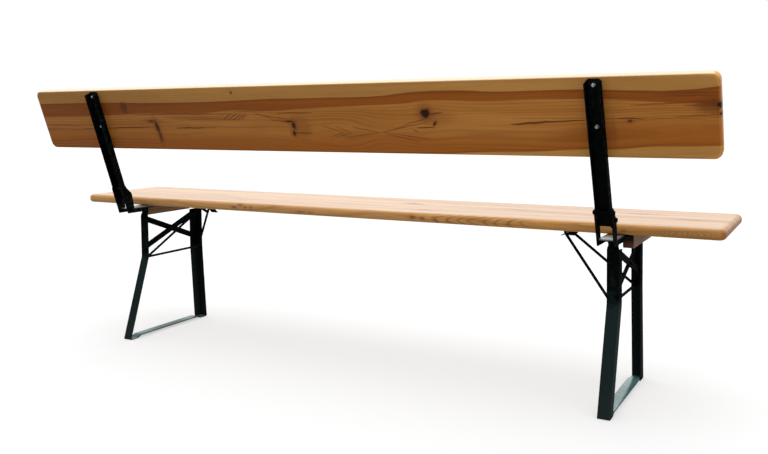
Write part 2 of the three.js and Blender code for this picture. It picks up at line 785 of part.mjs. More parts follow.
// Hinge bracket: an ear beside the leg's face and a leaf under the wood or under the base plate.
function hingeGeometry(earOuterY, towards, leafTop, leafOuterX, screwY) {
  const leafBottom = leafTop - hingeThickness;
  const ear = new THREE.Shape();
  ear.moveTo(hingeLeafInnerX, leafTop);
  ear.lineTo(hingeLeafInnerX, leafBottom);
  ear.absarc(legCentreX, legPivotZ, hingeEarRadius, Math.PI, Math.PI * 2, false);
  ear.lineTo(frontLeafOuterX, leafBottom);
  ear.lineTo(frontLeafOuterX, leafTop);
  ear.closePath();
  const earInnerY = earOuterY + towards * hingeThickness;
  const [e0, e1] = [earOuterY, earInnerY].sort((a, b) => a - b);
  const leafEndY = earOuterY + towards * hingeLeafDepth;
  const [l0, l1] = [earOuterY, leafEndY].sort((a, b) => a - b);
  const leaf = block(hingeLeafInnerX, leafOuterX, l0, l1, leafBottom, leafTop);
  let body = joined(solid(lengthways(ear, e0, e1)), solid(leaf));
  const pinHole = barY(legCentreX, legPivotZ, e0 - overrun, e1 + overrun, legPivotRadius + holeGap);
  body = body.subtract(solid(pinHole));
  const [low, high] = [leafBottom - overrun, leafTop + overrun];
  body = body.subtract(solid(barZ(strutX, screwY, low, high, boreRadius, smallSides)));
  return geometryOf(body);
}

// Hinge pin along Y with a flat head at each end, given by the faces it holds.
function hingePinGeometry(y0, y1) {
  const [a, b] = [y0 - seatGap, y1 + seatGap];
  return geometryOf(
    joined(
      solid(barY(legCentreX, legPivotZ, a, b, legPivotRadius)),
      solid(barY(legCentreX, legPivotZ, a - pivotHeadThickness, a, pivotHeadRadius)),
      solid(barY(legCentreX, legPivotZ, b, b + pivotHeadThickness, pivotHeadRadius)),
    ),
  );
}

// Batten: square in section with its lower edges and ends eased.
function battenGeometry() {
  const [a, b] = [battenRearY, battenFrontY];
  const bottom = plateTop - battenHeight;
  const shape = new THREE.Shape();
  shape.moveTo(a, plateTop);
  shape.lineTo(b, plateTop);
  shape.lineTo(b, bottom + battenRound);
  shape.absarc(b + battenRound, bottom + battenRound, battenRound, Math.PI, Math.PI * 1.5, false);
  shape.lineTo(a - battenRound, bottom);
  shape.absarc(a - battenRound, bottom + battenRound, battenRound, -Math.PI / 2, 0, false);
  shape.closePath();
  const x0 = legOuterX + turnGap;
  return sideways(shape, x0, x0 + battenWidth);
}

const plateScrew = screwGeometry(basePlateThickness);
const boreTopZ = plateTop + screwDepth + holeGap;
const backFaceY = -strutDepth / 2 - seatGap;
const rearLeafTop = plateBottom - seatGap;
const frontScrewY = frontLegY + legWall + turnGap + hingeLeafDepth * frontScrewShare;

// Blind bores for the screws in the underside of the seat
function seatGeometry() {
  let body = solid(plank(seatLength, seatDepth, seatThickness, seatCornerRound, seatEdgeRound));
  body = body.translate([seatShift, -seatDepth / 2, seatUnder]);
  const spots = plateScrewY.map((y) => [strutX, y]);
  spots.push([strutX, frontScrewY], ...catchScrewX.map((x) => [x, rodHookY]));
  for (const [x, y] of spots) {
    for (const sideX of [-x, x]) {
      body = body.subtract(solid(barZ(sideX, y, webBottom, boreTopZ, boreRadius, smallSides)));
    }
  }
  return geometryOf(body);
}

// Holes for the bolts right through the backrest, wider at the front for their heads
function backrestGeometry() {
  let body = solid(
    plank(backLength, backHeight, backThickness, backCornerRound, backEdgeRound)
      .rotateX(Math.PI / 2)
      .translate(0, backFaceY, backRise + backHeight / 2),
  );
  const frontY = backFaceY - backThickness;
  const slope = (strutBoltHeadRadius - strutBoltRadius) / strutBoltHeadDepth;
  const narrow = strutBoltRadius + holeGap;
  const sinkDepth = strutBoltHeadDepth + overrun;
  const sinkY = frontY + seatGap + strutBoltHeadDepth - sinkDepth / 2;
  for (const reach of strutBoltReaches) {
    for (const x of [-strutX, strutX]) {
      const sink = new THREE.CylinderGeometry(narrow, narrow + sinkDepth * slope, sinkDepth, smallSides);
      body = body.subtract(solid(barY(x, reach, frontY - overrun, 0, narrow, smallSides)));
      body = body.subtract(solid(sink.translate(x, sinkY, reach)));
    }
  }
  return geometryOf(body);
}

node("seat_board", seatGeometry(), wood);

// The backrest leans with its struts, which it lies in front of.
const backTurn = new THREE.Group();
backTurn.position.set(0, backPivotY, backPivotZ);
backTurn.rotation.x = -backRecline;
group.add(backTurn);
node("backrest_board", backrestGeometry(), wood, backTurn);

for (const { side, tag, end } of ends) {
  // Backrest parts
  const strut = node(`strut_${tag}`, strutGeometry(), paint, backTurn);
  strut.position.x = side * strutX;
  strutBoltReaches.forEach((reach, i) => {
    const bolt = node(`strut_bolt_${tag}_${i + 1}`, strutBoltGeometry(), zinc, backTurn);
    bolt.rotation.x = -Math.PI / 2;
    bolt.position.set(side * strutX, strutWall - strutDepth / 2 + seatGap, reach);
  });
  node(`socket_${tag}`, socketGeometry(), paint).position.x = side * strutX;
  node(`base_plate_${tag}`, basePlateGeometry(), zinc, end).position.x = strutX;
  const pivotBolt = node(`pivot_bolt_${tag}`, boltGeometry(socketHalf, backPivotRadius), paint);
  pivotBolt.position.set(side * strutX, backPivotY, backPivotZ);
  const stopBolt = node(
    `stop_bolt_${tag}`,
    boltGeometry(socketHalf, stopRadius, stopSpacerRadius, strutWidth / 2 - seatGap),
    paint,
  );
  stopBolt.position.set(side * strutX, stopPoint.x, stopPoint.y);

  // Screws that hold the base plate; the rear one also holds the hinge leaf
  const screwFaces = [rearLeafTop - hingeThickness - seatGap, plateBottom - seatGap];
  plateScrewY.forEach((y, i) => {
    const screw = node(`plate_screw_${tag}_${i + 1}`, plateScrew, zinc, end);
    screw.rotation.x = Math.PI;
    screw.position.set(strutX, y, screwFaces[i]);
  });

  // Leg frame and what is riveted to it
  node(`leg_frame_${tag}`, legFrameGeometry(), paint, end);
  const lowBar = flatBar(...lowBrace, braceWidth, ...lowBraceX, [...lowBrace, braceCross]);
  node(`brace_low_${tag}`, lowBar, paint, end);
  node(`brace_high_${tag}`, highBraceGeometry(), paint, end);
  const rivets = {
    low_rear: [lowBrace[0], lowBraceX[0], legOuterX],
    low_front: [lowBrace[1], lowBraceX[0], legOuterX],
    high_rear: [highBrace[0], highBraceX[0], legOuterX],
    high_front: [highBrace[1], highBraceX[0], legOuterX],
    cross: [braceCross, highBraceX[0], lowBraceX[1]],
  };
  for (const [place, [point, x0, x1]] of Object.entries(rivets)) {
    node(`brace_rivet_${place}_${tag}`, rivetGeometry(point, x0, x1), paint, end);
  }

  // Hinges
  const rearEarY = rearLegY - legWall - turnGap;
  const frontEarY = frontLegY + legWall + turnGap;
  const rearHinge = hingeGeometry(rearEarY, -1, rearLeafTop, rearLeafOuterX, plateScrewY[0]);
  node(`hinge_rear_${tag}`, rearHinge, paint, end);
  const frontHinge = hingeGeometry(frontEarY, 1, plateTop, frontLeafOuterX, frontScrewY);
  node(`hinge_front_${tag}`, frontHinge, paint, end);
  node(`hinge_pin_rear_${tag}`, hingePinGeometry(rearEarY - hingeThickness, rearLegY), paint, end);
  node(`hinge_pin_front_${tag}`, hingePinGeometry(frontLegY, frontEarY + hingeThickness), paint, end);
  const frontScrew = node(`hinge_screw_${tag}`, plateScrew, zinc, end);
  frontScrew.rotation.x = Math.PI;
  frontScrew.position.set(strutX, frontScrewY, plateTop - hingeThickness - seatGap);

  // Lock rod, catch and batten
  node(`lock_rod_${tag}`, lockRodGeometry(), paint, end);
  node(`rod_catch_${tag}`, catchGeometry(), paint, end);
  catchScrewX.forEach((x, i) => {
    const screw = node(`catch_screw_${tag}_${i + 1}`, plateScrew, zinc, end);
    screw.rotation.x = Math.PI;
    screw.position.set(x, rodHookY, plateTop - catchThickness - seatGap);
  });
  node(`batten_${tag}`, battenGeometry(), battenWood, end);
}

// Centre the bench over its own footprint.
const box = new THREE.Box3().setFromObject(group, true);
group.position.set(-(box.min.x + box.max.x) / 2, -(box.min.y + box.max.y) / 2, -box.min.z);
group.updateMatrixWorld(true);

export default group;
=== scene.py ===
import json
import math

import bmesh
import bpy
import numpy as np
from mathutils import Matrix, Vector


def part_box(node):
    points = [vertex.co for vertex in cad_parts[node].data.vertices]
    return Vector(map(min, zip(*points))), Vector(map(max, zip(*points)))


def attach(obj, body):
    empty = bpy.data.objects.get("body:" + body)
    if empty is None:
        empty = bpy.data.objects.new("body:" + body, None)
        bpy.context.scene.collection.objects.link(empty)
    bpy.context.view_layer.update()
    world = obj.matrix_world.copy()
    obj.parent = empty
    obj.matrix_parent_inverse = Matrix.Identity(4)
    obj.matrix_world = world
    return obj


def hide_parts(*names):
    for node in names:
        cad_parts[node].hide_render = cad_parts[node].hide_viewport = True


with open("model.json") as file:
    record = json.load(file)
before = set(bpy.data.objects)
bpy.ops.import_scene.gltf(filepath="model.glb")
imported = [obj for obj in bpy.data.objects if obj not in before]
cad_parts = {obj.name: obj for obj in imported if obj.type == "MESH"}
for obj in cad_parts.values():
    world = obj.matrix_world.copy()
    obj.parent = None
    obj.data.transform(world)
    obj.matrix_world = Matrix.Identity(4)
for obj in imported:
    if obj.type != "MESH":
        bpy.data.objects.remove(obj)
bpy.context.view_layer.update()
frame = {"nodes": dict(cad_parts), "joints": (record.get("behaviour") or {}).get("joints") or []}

# Folding bench seen from behind: pine seat and backrest on dark painted angle-steel leg frames.
# Metres, +X along the bench, -Y the front of the seat, +Z up. Side +1 is the right end.
print("folding bench: frame loaded,", len(frame["nodes"]), "nodes")

jointAt = {joint["name"]: Vector(joint["pos_m"]) for joint in frame["joints"]}
ends = {"right": 1, "left": -1}
tipRadius = 0.0004  # the small ring that closes a turned piece at its axis

# Surfaces worked out as arrays


def smoothObject(name, mesh):
    mesh.polygons.foreach_set("use_smooth", np.ones(len(mesh.polygons), bool))
    obj = bpy.data.objects.new(name, mesh)
    bpy.context.scene.collection.objects.link(obj)
    return obj


def meshObject(name, points, faces, sharpAngle):
    # doubles are merged, faces turned outwards, and edges sharper than the angle stay crisp
    mesh = bpy.data.meshes.new(name)
    mesh.from_pydata(np.asarray(points, float).reshape(-1, 3).tolist(), [], faces)
    mesh.update()
    work = bmesh.new()
    work.from_mesh(mesh)
    bmesh.ops.remove_doubles(work, verts=work.verts, dist=1e-6)
    bmesh.ops.recalc_face_normals(work, faces=work.faces)
    work.to_mesh(mesh)
    work.free()
    obj = smoothObject(name, mesh)
    mesh.set_sharp_from_angle(angle=math.radians(sharpAngle))
    return obj


def easedCopy(node, width, segments):
    # a merged copy of a steel node or batten with its sharp edges eased by a bevel
    name = "eased_" + node
    mesh = bpy.data.meshes.new(name)
    work = bmesh.new()
    work.from_mesh(frame["nodes"][node].data)
    bmesh.ops.remove_doubles(work, verts=work.verts, dist=2e-5)
    bmesh.ops.dissolve_limit(work, angle_limit=math.radians(0.6), verts=work.verts, edges=work.edges)
    work.to_mesh(mesh)
    work.free()
    obj = smoothObject(name, mesh)
    bevel = obj.modifiers.new("eased edges", "BEVEL")
    bevel.width = width
    bevel.segments = segments
    bevel.limit_method = "ANGLE"
    bevel.angle_limit = math.radians(34)
    bevel.harden_normals = True
    return obj


def fit(obj, body, finish, *nodes):
    # the piece takes the place of its CAD nodes, which are hidden, and rides on a body with the material of
    # its finish
    slotName, material = finish
    obj.data.materials.append(material)
    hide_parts(*nodes)
    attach(obj, body)


def fullTurn(steps):
    return np.linspace(0, 2 * np.pi, steps, endpoint=False)


def ringed(radii, heights, angles):
    # point = (r cos a, r sin a, h), where r may differ round a ring
    x, y = radii * np.cos(angles), radii * np.sin(angles)
    return np.stack([x, y, np.broadcast_to(heights[:, None], x.shape)], -1)


def lathe(profile, steps=32):
    # profile [r, h] turned about +Z
    r, h = np.asarray(profile, float).T
    return ringed(r[:, None], h, fullTurn(steps))


def bothEnds(rim, low, high):
    # a profile with the same rim at either end, its points given as radius and height in from the end
    return [(r, low + h) for r, h in rim] + [(r, high - h) for r, h in rim[::-1]]


def easedRod(radius, low, high, ease):
    # profile of a round bar or plate with both edges eased
    rim = [(tipRadius, 0), (radius - ease, 0), (radius - 0.3 * ease, 0.3 * ease), (radius, ease)]
    return bothEnds(rim, low, high)


def hexagon(reach, low, high, chamfer):
    # a nut: at angle a the flats stand at reach cos 30 / cos(a - nearest flat), cut by a cone at both ends
    a = fullTurn(48)
    flat = reach * math.cos(math.pi / 6) / np.cos((a + np.pi / 6) % (np.pi / 3) - np.pi / 6)
    cone = [(tipRadius, 0), (0.86 * reach, 0), (0.94 * reach, 0.5 * chamfer), (reach, chamfer)]
    r, h = np.array(bothEnds(cone, low, high)).T
    return ringed(np.minimum(flat, r[:, None]), h, a)


def domeProfile(radius, rise, base, recess=0.0, depth=0.0):
    # a quarter ellipse from its rim at base to its top, with a round recess in the middle
    t = np.linspace(0, np.pi / 2, 9)
    inner = max(recess, tipRadius)
    profile = [(tipRadius, base), (radius - tipRadius, base)]
    profile += zip(inner + (radius - inner) * np.cos(t), base + rise * np.sin(t))
    if recess:
        return profile + [(recess * 0.8, base + rise - depth), (tipRadius, base + rise - depth)]
    return profile + [(tipRadius * 0.75, base + rise)]


def sweep(path, radius, steps=16):
    # rings across a path: each is spanned by the path's own sideways direction and the one across both
    along = np.gradient(path, axis=0)
    along /= np.linalg.norm(along, axis=1, keepdims=True)
    across = np.cross(path[len(path) // 2] - path[0], path[-1] - path[0])
    across /= np.linalg.norm(across)
    side = np.cross(along, across)
    a = fullTurn(steps)[None, :, None]
    return path[:, None, :] + radius * (np.cos(a) * across + np.sin(a) * side[:, None, :])


def placed(points, direction, place):
    # turns the +Z axis of the points onto a direction and moves them to a place
    turn = np.array(Vector((0, 0, 1)).rotation_difference(Vector(direction)).to_matrix())
    return points @ turn.T + np.asarray(place)


def capped(points, start=0):
    # quads between the closed rings of a lathe or loft stored ring by ring, and one face over each end
    rows, columns = points.shape[:2]
    ring = start + columns * np.arange(rows - 1)[:, None]
    here = np.arange(columns)
    after = (here + 1) % columns
    quads = np.stack([ring + here, ring + after, ring + columns + after, ring + columns + here], -1)
    last = start + (rows - 1) * columns
    lids = [list(range(start, start + columns)), list(range(last, last + columns))[::-1]]
    return quads.reshape(-1, 4).tolist() + lids


def joinedParts(node, parts):
    # one object from several capped lofts
    faces, start = [], 0
    for part in parts:
        faces += capped(part, start)
        start += part.shape[0] * part.shape[1]
    return meshObject(node + "_round", np.concatenate([part.reshape(-1, 3) for part in parts]), faces, 35)


# Shader building


class Wire:
    # a value on its way through a node tree: arithmetic written with it becomes Math nodes
    def __init__(self, tree, socket):
        self.tree, self.socket = tree, socket

    def then(self, operation, *others, clamp=False):
        return add(self.tree, "Math", dict(enumerate((self, *others))), operation=operation, use_clamp=clamp)

    def __add__(self, other):
        return self.then("ADD", other)

    def __mul__(self, other):
        return self.then("MULTIPLY", other)

    def __sub__(self, other):
        return self.then("SUBTRACT", other)

    def __rsub__(self, other):
        return add(self.tree, "Math", {0: other, 1: self}, operation="SUBTRACT")

    def __truediv__(self, other):
        return self.then("DIVIDE", other)

    def __abs__(self):
        return self.then("ABSOLUTE")

    __radd__, __rmul__ = __add__, __mul__


def plug(tree, node, inputs):
    for key, value in inputs.items():
        if isinstance(value, Wire):
            tree.links.new(value.socket, node.inputs[key])
        else:
            node.inputs[key].default_value = value


def add(tree, kind, inputs, output=0, **settings):
    # a new node with its settings and inputs, seen by the wire that leaves it
    node = tree.nodes.new("ShaderNode" + kind)
    for key, value in settings.items():
        setattr(node, key, value)
    plug(tree, node, inputs)
    return Wire(tree, node.outputs[output])


def mix(factor, a, b, blend="MIX"):
    tree = next(value.tree for value in (factor, a, b) if isinstance(value, Wire))
    first, second = (value if isinstance(value, Wire) else (*value, 1) for value in (a, b))
    return add(tree, "Mix", {0: factor, 6: first, 7: second}, 2, data_type="RGBA", blend_type=blend)


def layered(colour, *layers):
    # lays one colour after another over the first, each where its own mask is 1
    for mask, shade in layers:
        colour = mix(mask, colour, shade)
    return colour


def grey(tree, value):
    return add(tree, "CombineColor", {0: value, 1: value, 2: value})


def dimmed(colour, share):
    return mix(1.0, colour, grey(colour.tree, share), "MULTIPLY")


def band(value, low, high):
    # 0 below low, 1 above high, smooth between
    inputs = {"Value": value, "From Min": low, "From Max": high}
    return add(value.tree, "MapRange", inputs, interpolation_type="SMOOTHSTEP")


def without(value, low, high):
    # 1 below low, 0 above high
    return 1 - band(value, low, high)


def strongest(masks):
    result = masks[0]
    for mask in masks[1:]:
        result = result.then("MAXIMUM", mask)
    return result


def split(vector):
    first = add(vector.tree, "SeparateXYZ", {0: vector})
    return [Wire(vector.tree, part) for part in first.socket.node.outputs]


def join(tree, x=0.0, y=0.0, z=0.0):
    return add(tree, "CombineXYZ", {0: x, 1: y, 2: z})


def shifted(vector, shift):
    return add(vector.tree, "VectorMath", {0: vector, 1: shift}, operation="ADD")


def stretched(point, scale, detail=2.0, rough=0.5, offset=(0, 0, 0)):
    # noise whose cells are drawn out by the three scales
    moved = add(point.tree, "Mapping", {"Vector": point, "Scale": scale, "Location": offset})
    inputs = {"Vector": moved, "Scale": 1.0, "Detail": detail, "Roughness": rough}
    return add(point.tree, "TexNoise", inputs, "Fac")


def objectPoint(tree):
    return add(tree, "TexCoord", {}, "Object")


def raised(height, strength=0.2, distance=0.0004):
    return add(height.tree, "Bump", {"Strength": strength, "Distance": distance, "Height": height})


def newMaterial(name):
    material = bpy.data.materials.new(name)
    material.use_nodes = True
    tree = material.node_tree
    tree.nodes.clear()
    shader = tree.nodes.new("ShaderNodeBsdfPrincipled")
    output = tree.nodes.new("ShaderNodeOutputMaterial")
    tree.links.new(shader.outputs[0], output.inputs[0])
    return material, tree, shader


def newGroup(name, numbers, results):
    # a shared effect that reads a point and named numbers, and puts out named values
    group = bpy.data.node_groups.new(name, "ShaderNodeTree")
    group.interface.new_socket("Point", in_out="INPUT", socket_type="NodeSocketVector")
    for label, value in numbers.items():
        group.interface.new_socket(label, in_out="INPUT", socket_type="NodeSocketFloat").default_value = value
    for label in results:
        group.interface.new_socket(label, in_out="OUTPUT", socket_type="NodeSocketFloat")
    given = group.nodes.new("NodeGroupInput")
    return group, {socket.name: Wire(group, socket) for socket in given.outputs}


def giveOut(group, values):
    plug(group, group.nodes.new("NodeGroupOutput"), values)
    return group


def use(group, point, numbers):
    first = add(point.tree, "Group", {"Point": point, **numbers}, node_tree=group)
    return {socket.name: Wire(point.tree, socket) for socket in first.socket.node.outputs}


def grainGroup():
    # Point: x along the grain, y through the board, z across it. Rings are the distance from the pith line,
    # warped by long noise and cut into yearly steps with a dark late edge; fibres are very long thin noise.
    numbers = {"Pith Depth": 0.05, "Pith Across": 0.1, "Ring Width": 0.006, "Warp": 0.012, "Seed": 0.0}
    group, given = newGroup("pine grain", numbers, ["Rings", "Lines", "Fibres", "Tone"])
    point = shifted(given["Point"], join(group, given["Seed"], 0.0, given["Seed"]))
    long = stretched(point, (0.9, 9, 9), detail=1.5)
    middle = stretched(point, (3.2, 28, 28))
    _, y, z = split(given["Point"])
    depth, across = y - given["Pith Depth"], z - given["Pith Across"]
    away = (depth * depth + across * across).then("SQRT")
    push = (long - 0.5) * (given["Warp"] * 4.0)
    ripple = (middle - 0.5) * given["Warp"]
    years = (away + (push + ripple)) / given["Ring Width"]
    year = years.then("FRACT")
    part = (years * 2.7).then("FRACT")
    return giveOut(group, {
        "Rings": band(year, 0.35, 0.9) * without(year, 0.93, 1.0),
        "Lines": band(part, 0.3, 0.8) * without(part, 0.85, 1.0),
        "Fibres": stretched(point, (14, 700, 700)),
        "Tone": stretched(point, (1.1, 22, 22), detail=3, rough=0.6, offset=(3, 1, 7)),
    })


def knotGroup():
    # An ellipse about a place: Push bends the grain round it, Core is the dark wood, Halo the resin stain.
    numbers = {"Along": 0.0, "Across": 0.1, "Half Length": 0.008, "Half Width": 0.008, "Slant": 0.0,
               "Reach": 0.02, "Strength": -0.75}
    group, given = newGroup("knot", numbers, ["Push", "Core", "Halo"])
    x, _, z = split(given["Point"])
    rough = stretched(given["Point"], (90, 90, 90), detail=3)
    dz = z - given["Across"]
    dx = x - given["Along"] - dz * given["Slant"]
    u, v = dx / given["Half Length"], dz / given["Half Width"]
    ragged = (u * u + v * v).then("SQRT") + (rough - 0.5) * 0.9
    near = (dx * dx * 0.12 + dz * dz) / (given["Reach"] * given["Reach"])
    return giveOut(group, {
        "Push": dz * (near * -1.0).then("EXPONENT") * given["Strength"],
        "Core": without(ragged, 0.6, 1.15),
        "Halo": without(ragged, 0.8, 2.6),
    })


def crackGroup():
    # A thin dark split along the grain between two ends, tapering to both.
    numbers = {"From": 0.0, "To": 0.1, "Across": 0.1, "Slope": 0.0, "Half Width": 0.0008}
    group, given = newGroup("season crack", numbers, ["Dark"])
    x, _, z = split(given["Point"])
    share = (x - given["From"]).then("DIVIDE", given["To"] - given["From"], clamp=True)
    taper = (share * (1 - share) * 4.0).then("SQRT")
    wander = (stretched(given["Point"], (25, 60, 0)) - 0.5) * 0.006
    line = given["Across"] + wander + (x - given["From"]) * given["Slope"]
    off = abs(z - line) / (taper * given["Half Width"]).then("MAXIMUM", 1e-6)
    return giveOut(group, {"Dark": without(off, 0.5, 1.4)})


def wearGroup():
    # Edge is 1 on worn convex edges, broken up by noise; Dirt settles low down.
    numbers = {"Low Edge": 0.52, "High Edge": 0.6, "Broken": 0.5}
    group, given = newGroup("edge wear", numbers, ["Edge", "Dirt"])
    edge = band(add(group, "NewGeometry", {}, "Pointiness"), given["Low Edge"], given["High Edge"])
    patches = stretched(given["Point"], (70, 70, 70), detail=4)
    dust = stretched(given["Point"], (25, 25, 60), detail=4)
    return giveOut(group, {
        "Edge": edge * band(patches, given["Broken"], given["Broken"] + 0.2),
        "Dirt": without(split(given["Point"])[2], 0.0, 0.12) * dust,
    })


grain, knot, crack, wear = grainGroup(), knotGroup(), crackGroup(), wearGroup()
knotNumbers = ("Along", "Across", "Half Length", "Half Width", "Slant", "Reach", "Strength")
bendNumbers = ("Along", "Across", "Reach", "Strength")
crackNumbers = ("From", "To", "Across", "Slope", "Half Width")


def addKnots(point, knots, bends=()):
    # returns the point with the grain bent round the knots, and the joined core and halo masks
    marks = [use(knot, point, dict(zip(knotNumbers, spot))) for spot in knots]
    turns = [use(knot, point, dict(zip(bendNumbers, spot))) for spot in bends]
    push = sum(mark["Push"] for mark in marks + turns)
    core, halo = (strongest([mark[mask] * spot[-1] for mark, spot in zip(marks, knots)])
                  for mask in ("Core", "Halo"))
    return shifted(point, join(point.tree, z=push)), core, halo


def lineMask(point, lines):
    # joined mask of tapering lines given as from, to, across, slope, half width
    return strongest([use(crack, point, dict(zip(crackNumbers, line)))["Dark"] for line in lines])


def boardPoint(tree, origin, turn):
    # Object coordinates turned into the board's own: x along, y through, z across
    inputs = {"Vector": objectPoint(tree), "Location": origin, "Rotation": turn}
    return add(tree, "Mapping", inputs, vector_type="TEXTURE")


woodRelief = {"fibres": 0.5, "rings": -0.6, "cracks": -1.5}  # how far each stands out


def lacquer(tree, shader, look, figure, colour, cracks=None):
    smooth, rougher = look["rough"]
    relief = figure["Fibres"] * woodRelief["fibres"] + figure["Rings"] * woodRelief["rings"]
    if cracks:
        relief = relief + cracks * woodRelief["cracks"]
    plug(tree, shader, {
        "Base Color": colour, "Roughness": smooth + figure["Fibres"] * rougher,
        "Normal": raised(relief), "Specular IOR Level": look["specular"]})


def borderLine(along, halfLength, points):
    # the height of a wavy border between two kinds of wood, through listed points [x, height]
    fullScale = 0.25
    share = (along + halfLength).then("DIVIDE", 2 * halfLength, clamp=True)
    line = add(along.tree, "FloatCurve", {"Value": share})
    mapping = line.socket.node.mapping
    curve = mapping.curves[0]
    spots = [((x + halfLength) / (2 * halfLength), height / fullScale) for x, height in points]
    curve.points[0].location, curve.points[1].location = spots[0], spots[-1]
    for spot in spots[1:-1]:
        curve.points.new(*spot)
    mapping.update()
    return line * fullScale


print("folding bench: shader groups built")

# Planks

boardShape = {
    "seat": {"node": "seat_board", "corner": 0.02, "edge": 0.0115},
    "backrest": {"node": "backrest_board", "corner": 0.02, "edge": 0.003, "recline": math.radians(19),
                 "outline": (2.2, 0.203)},
    "cornerSteps": 14,
    "edgeSteps": 9,
    "flatRing": 0.0015,
}

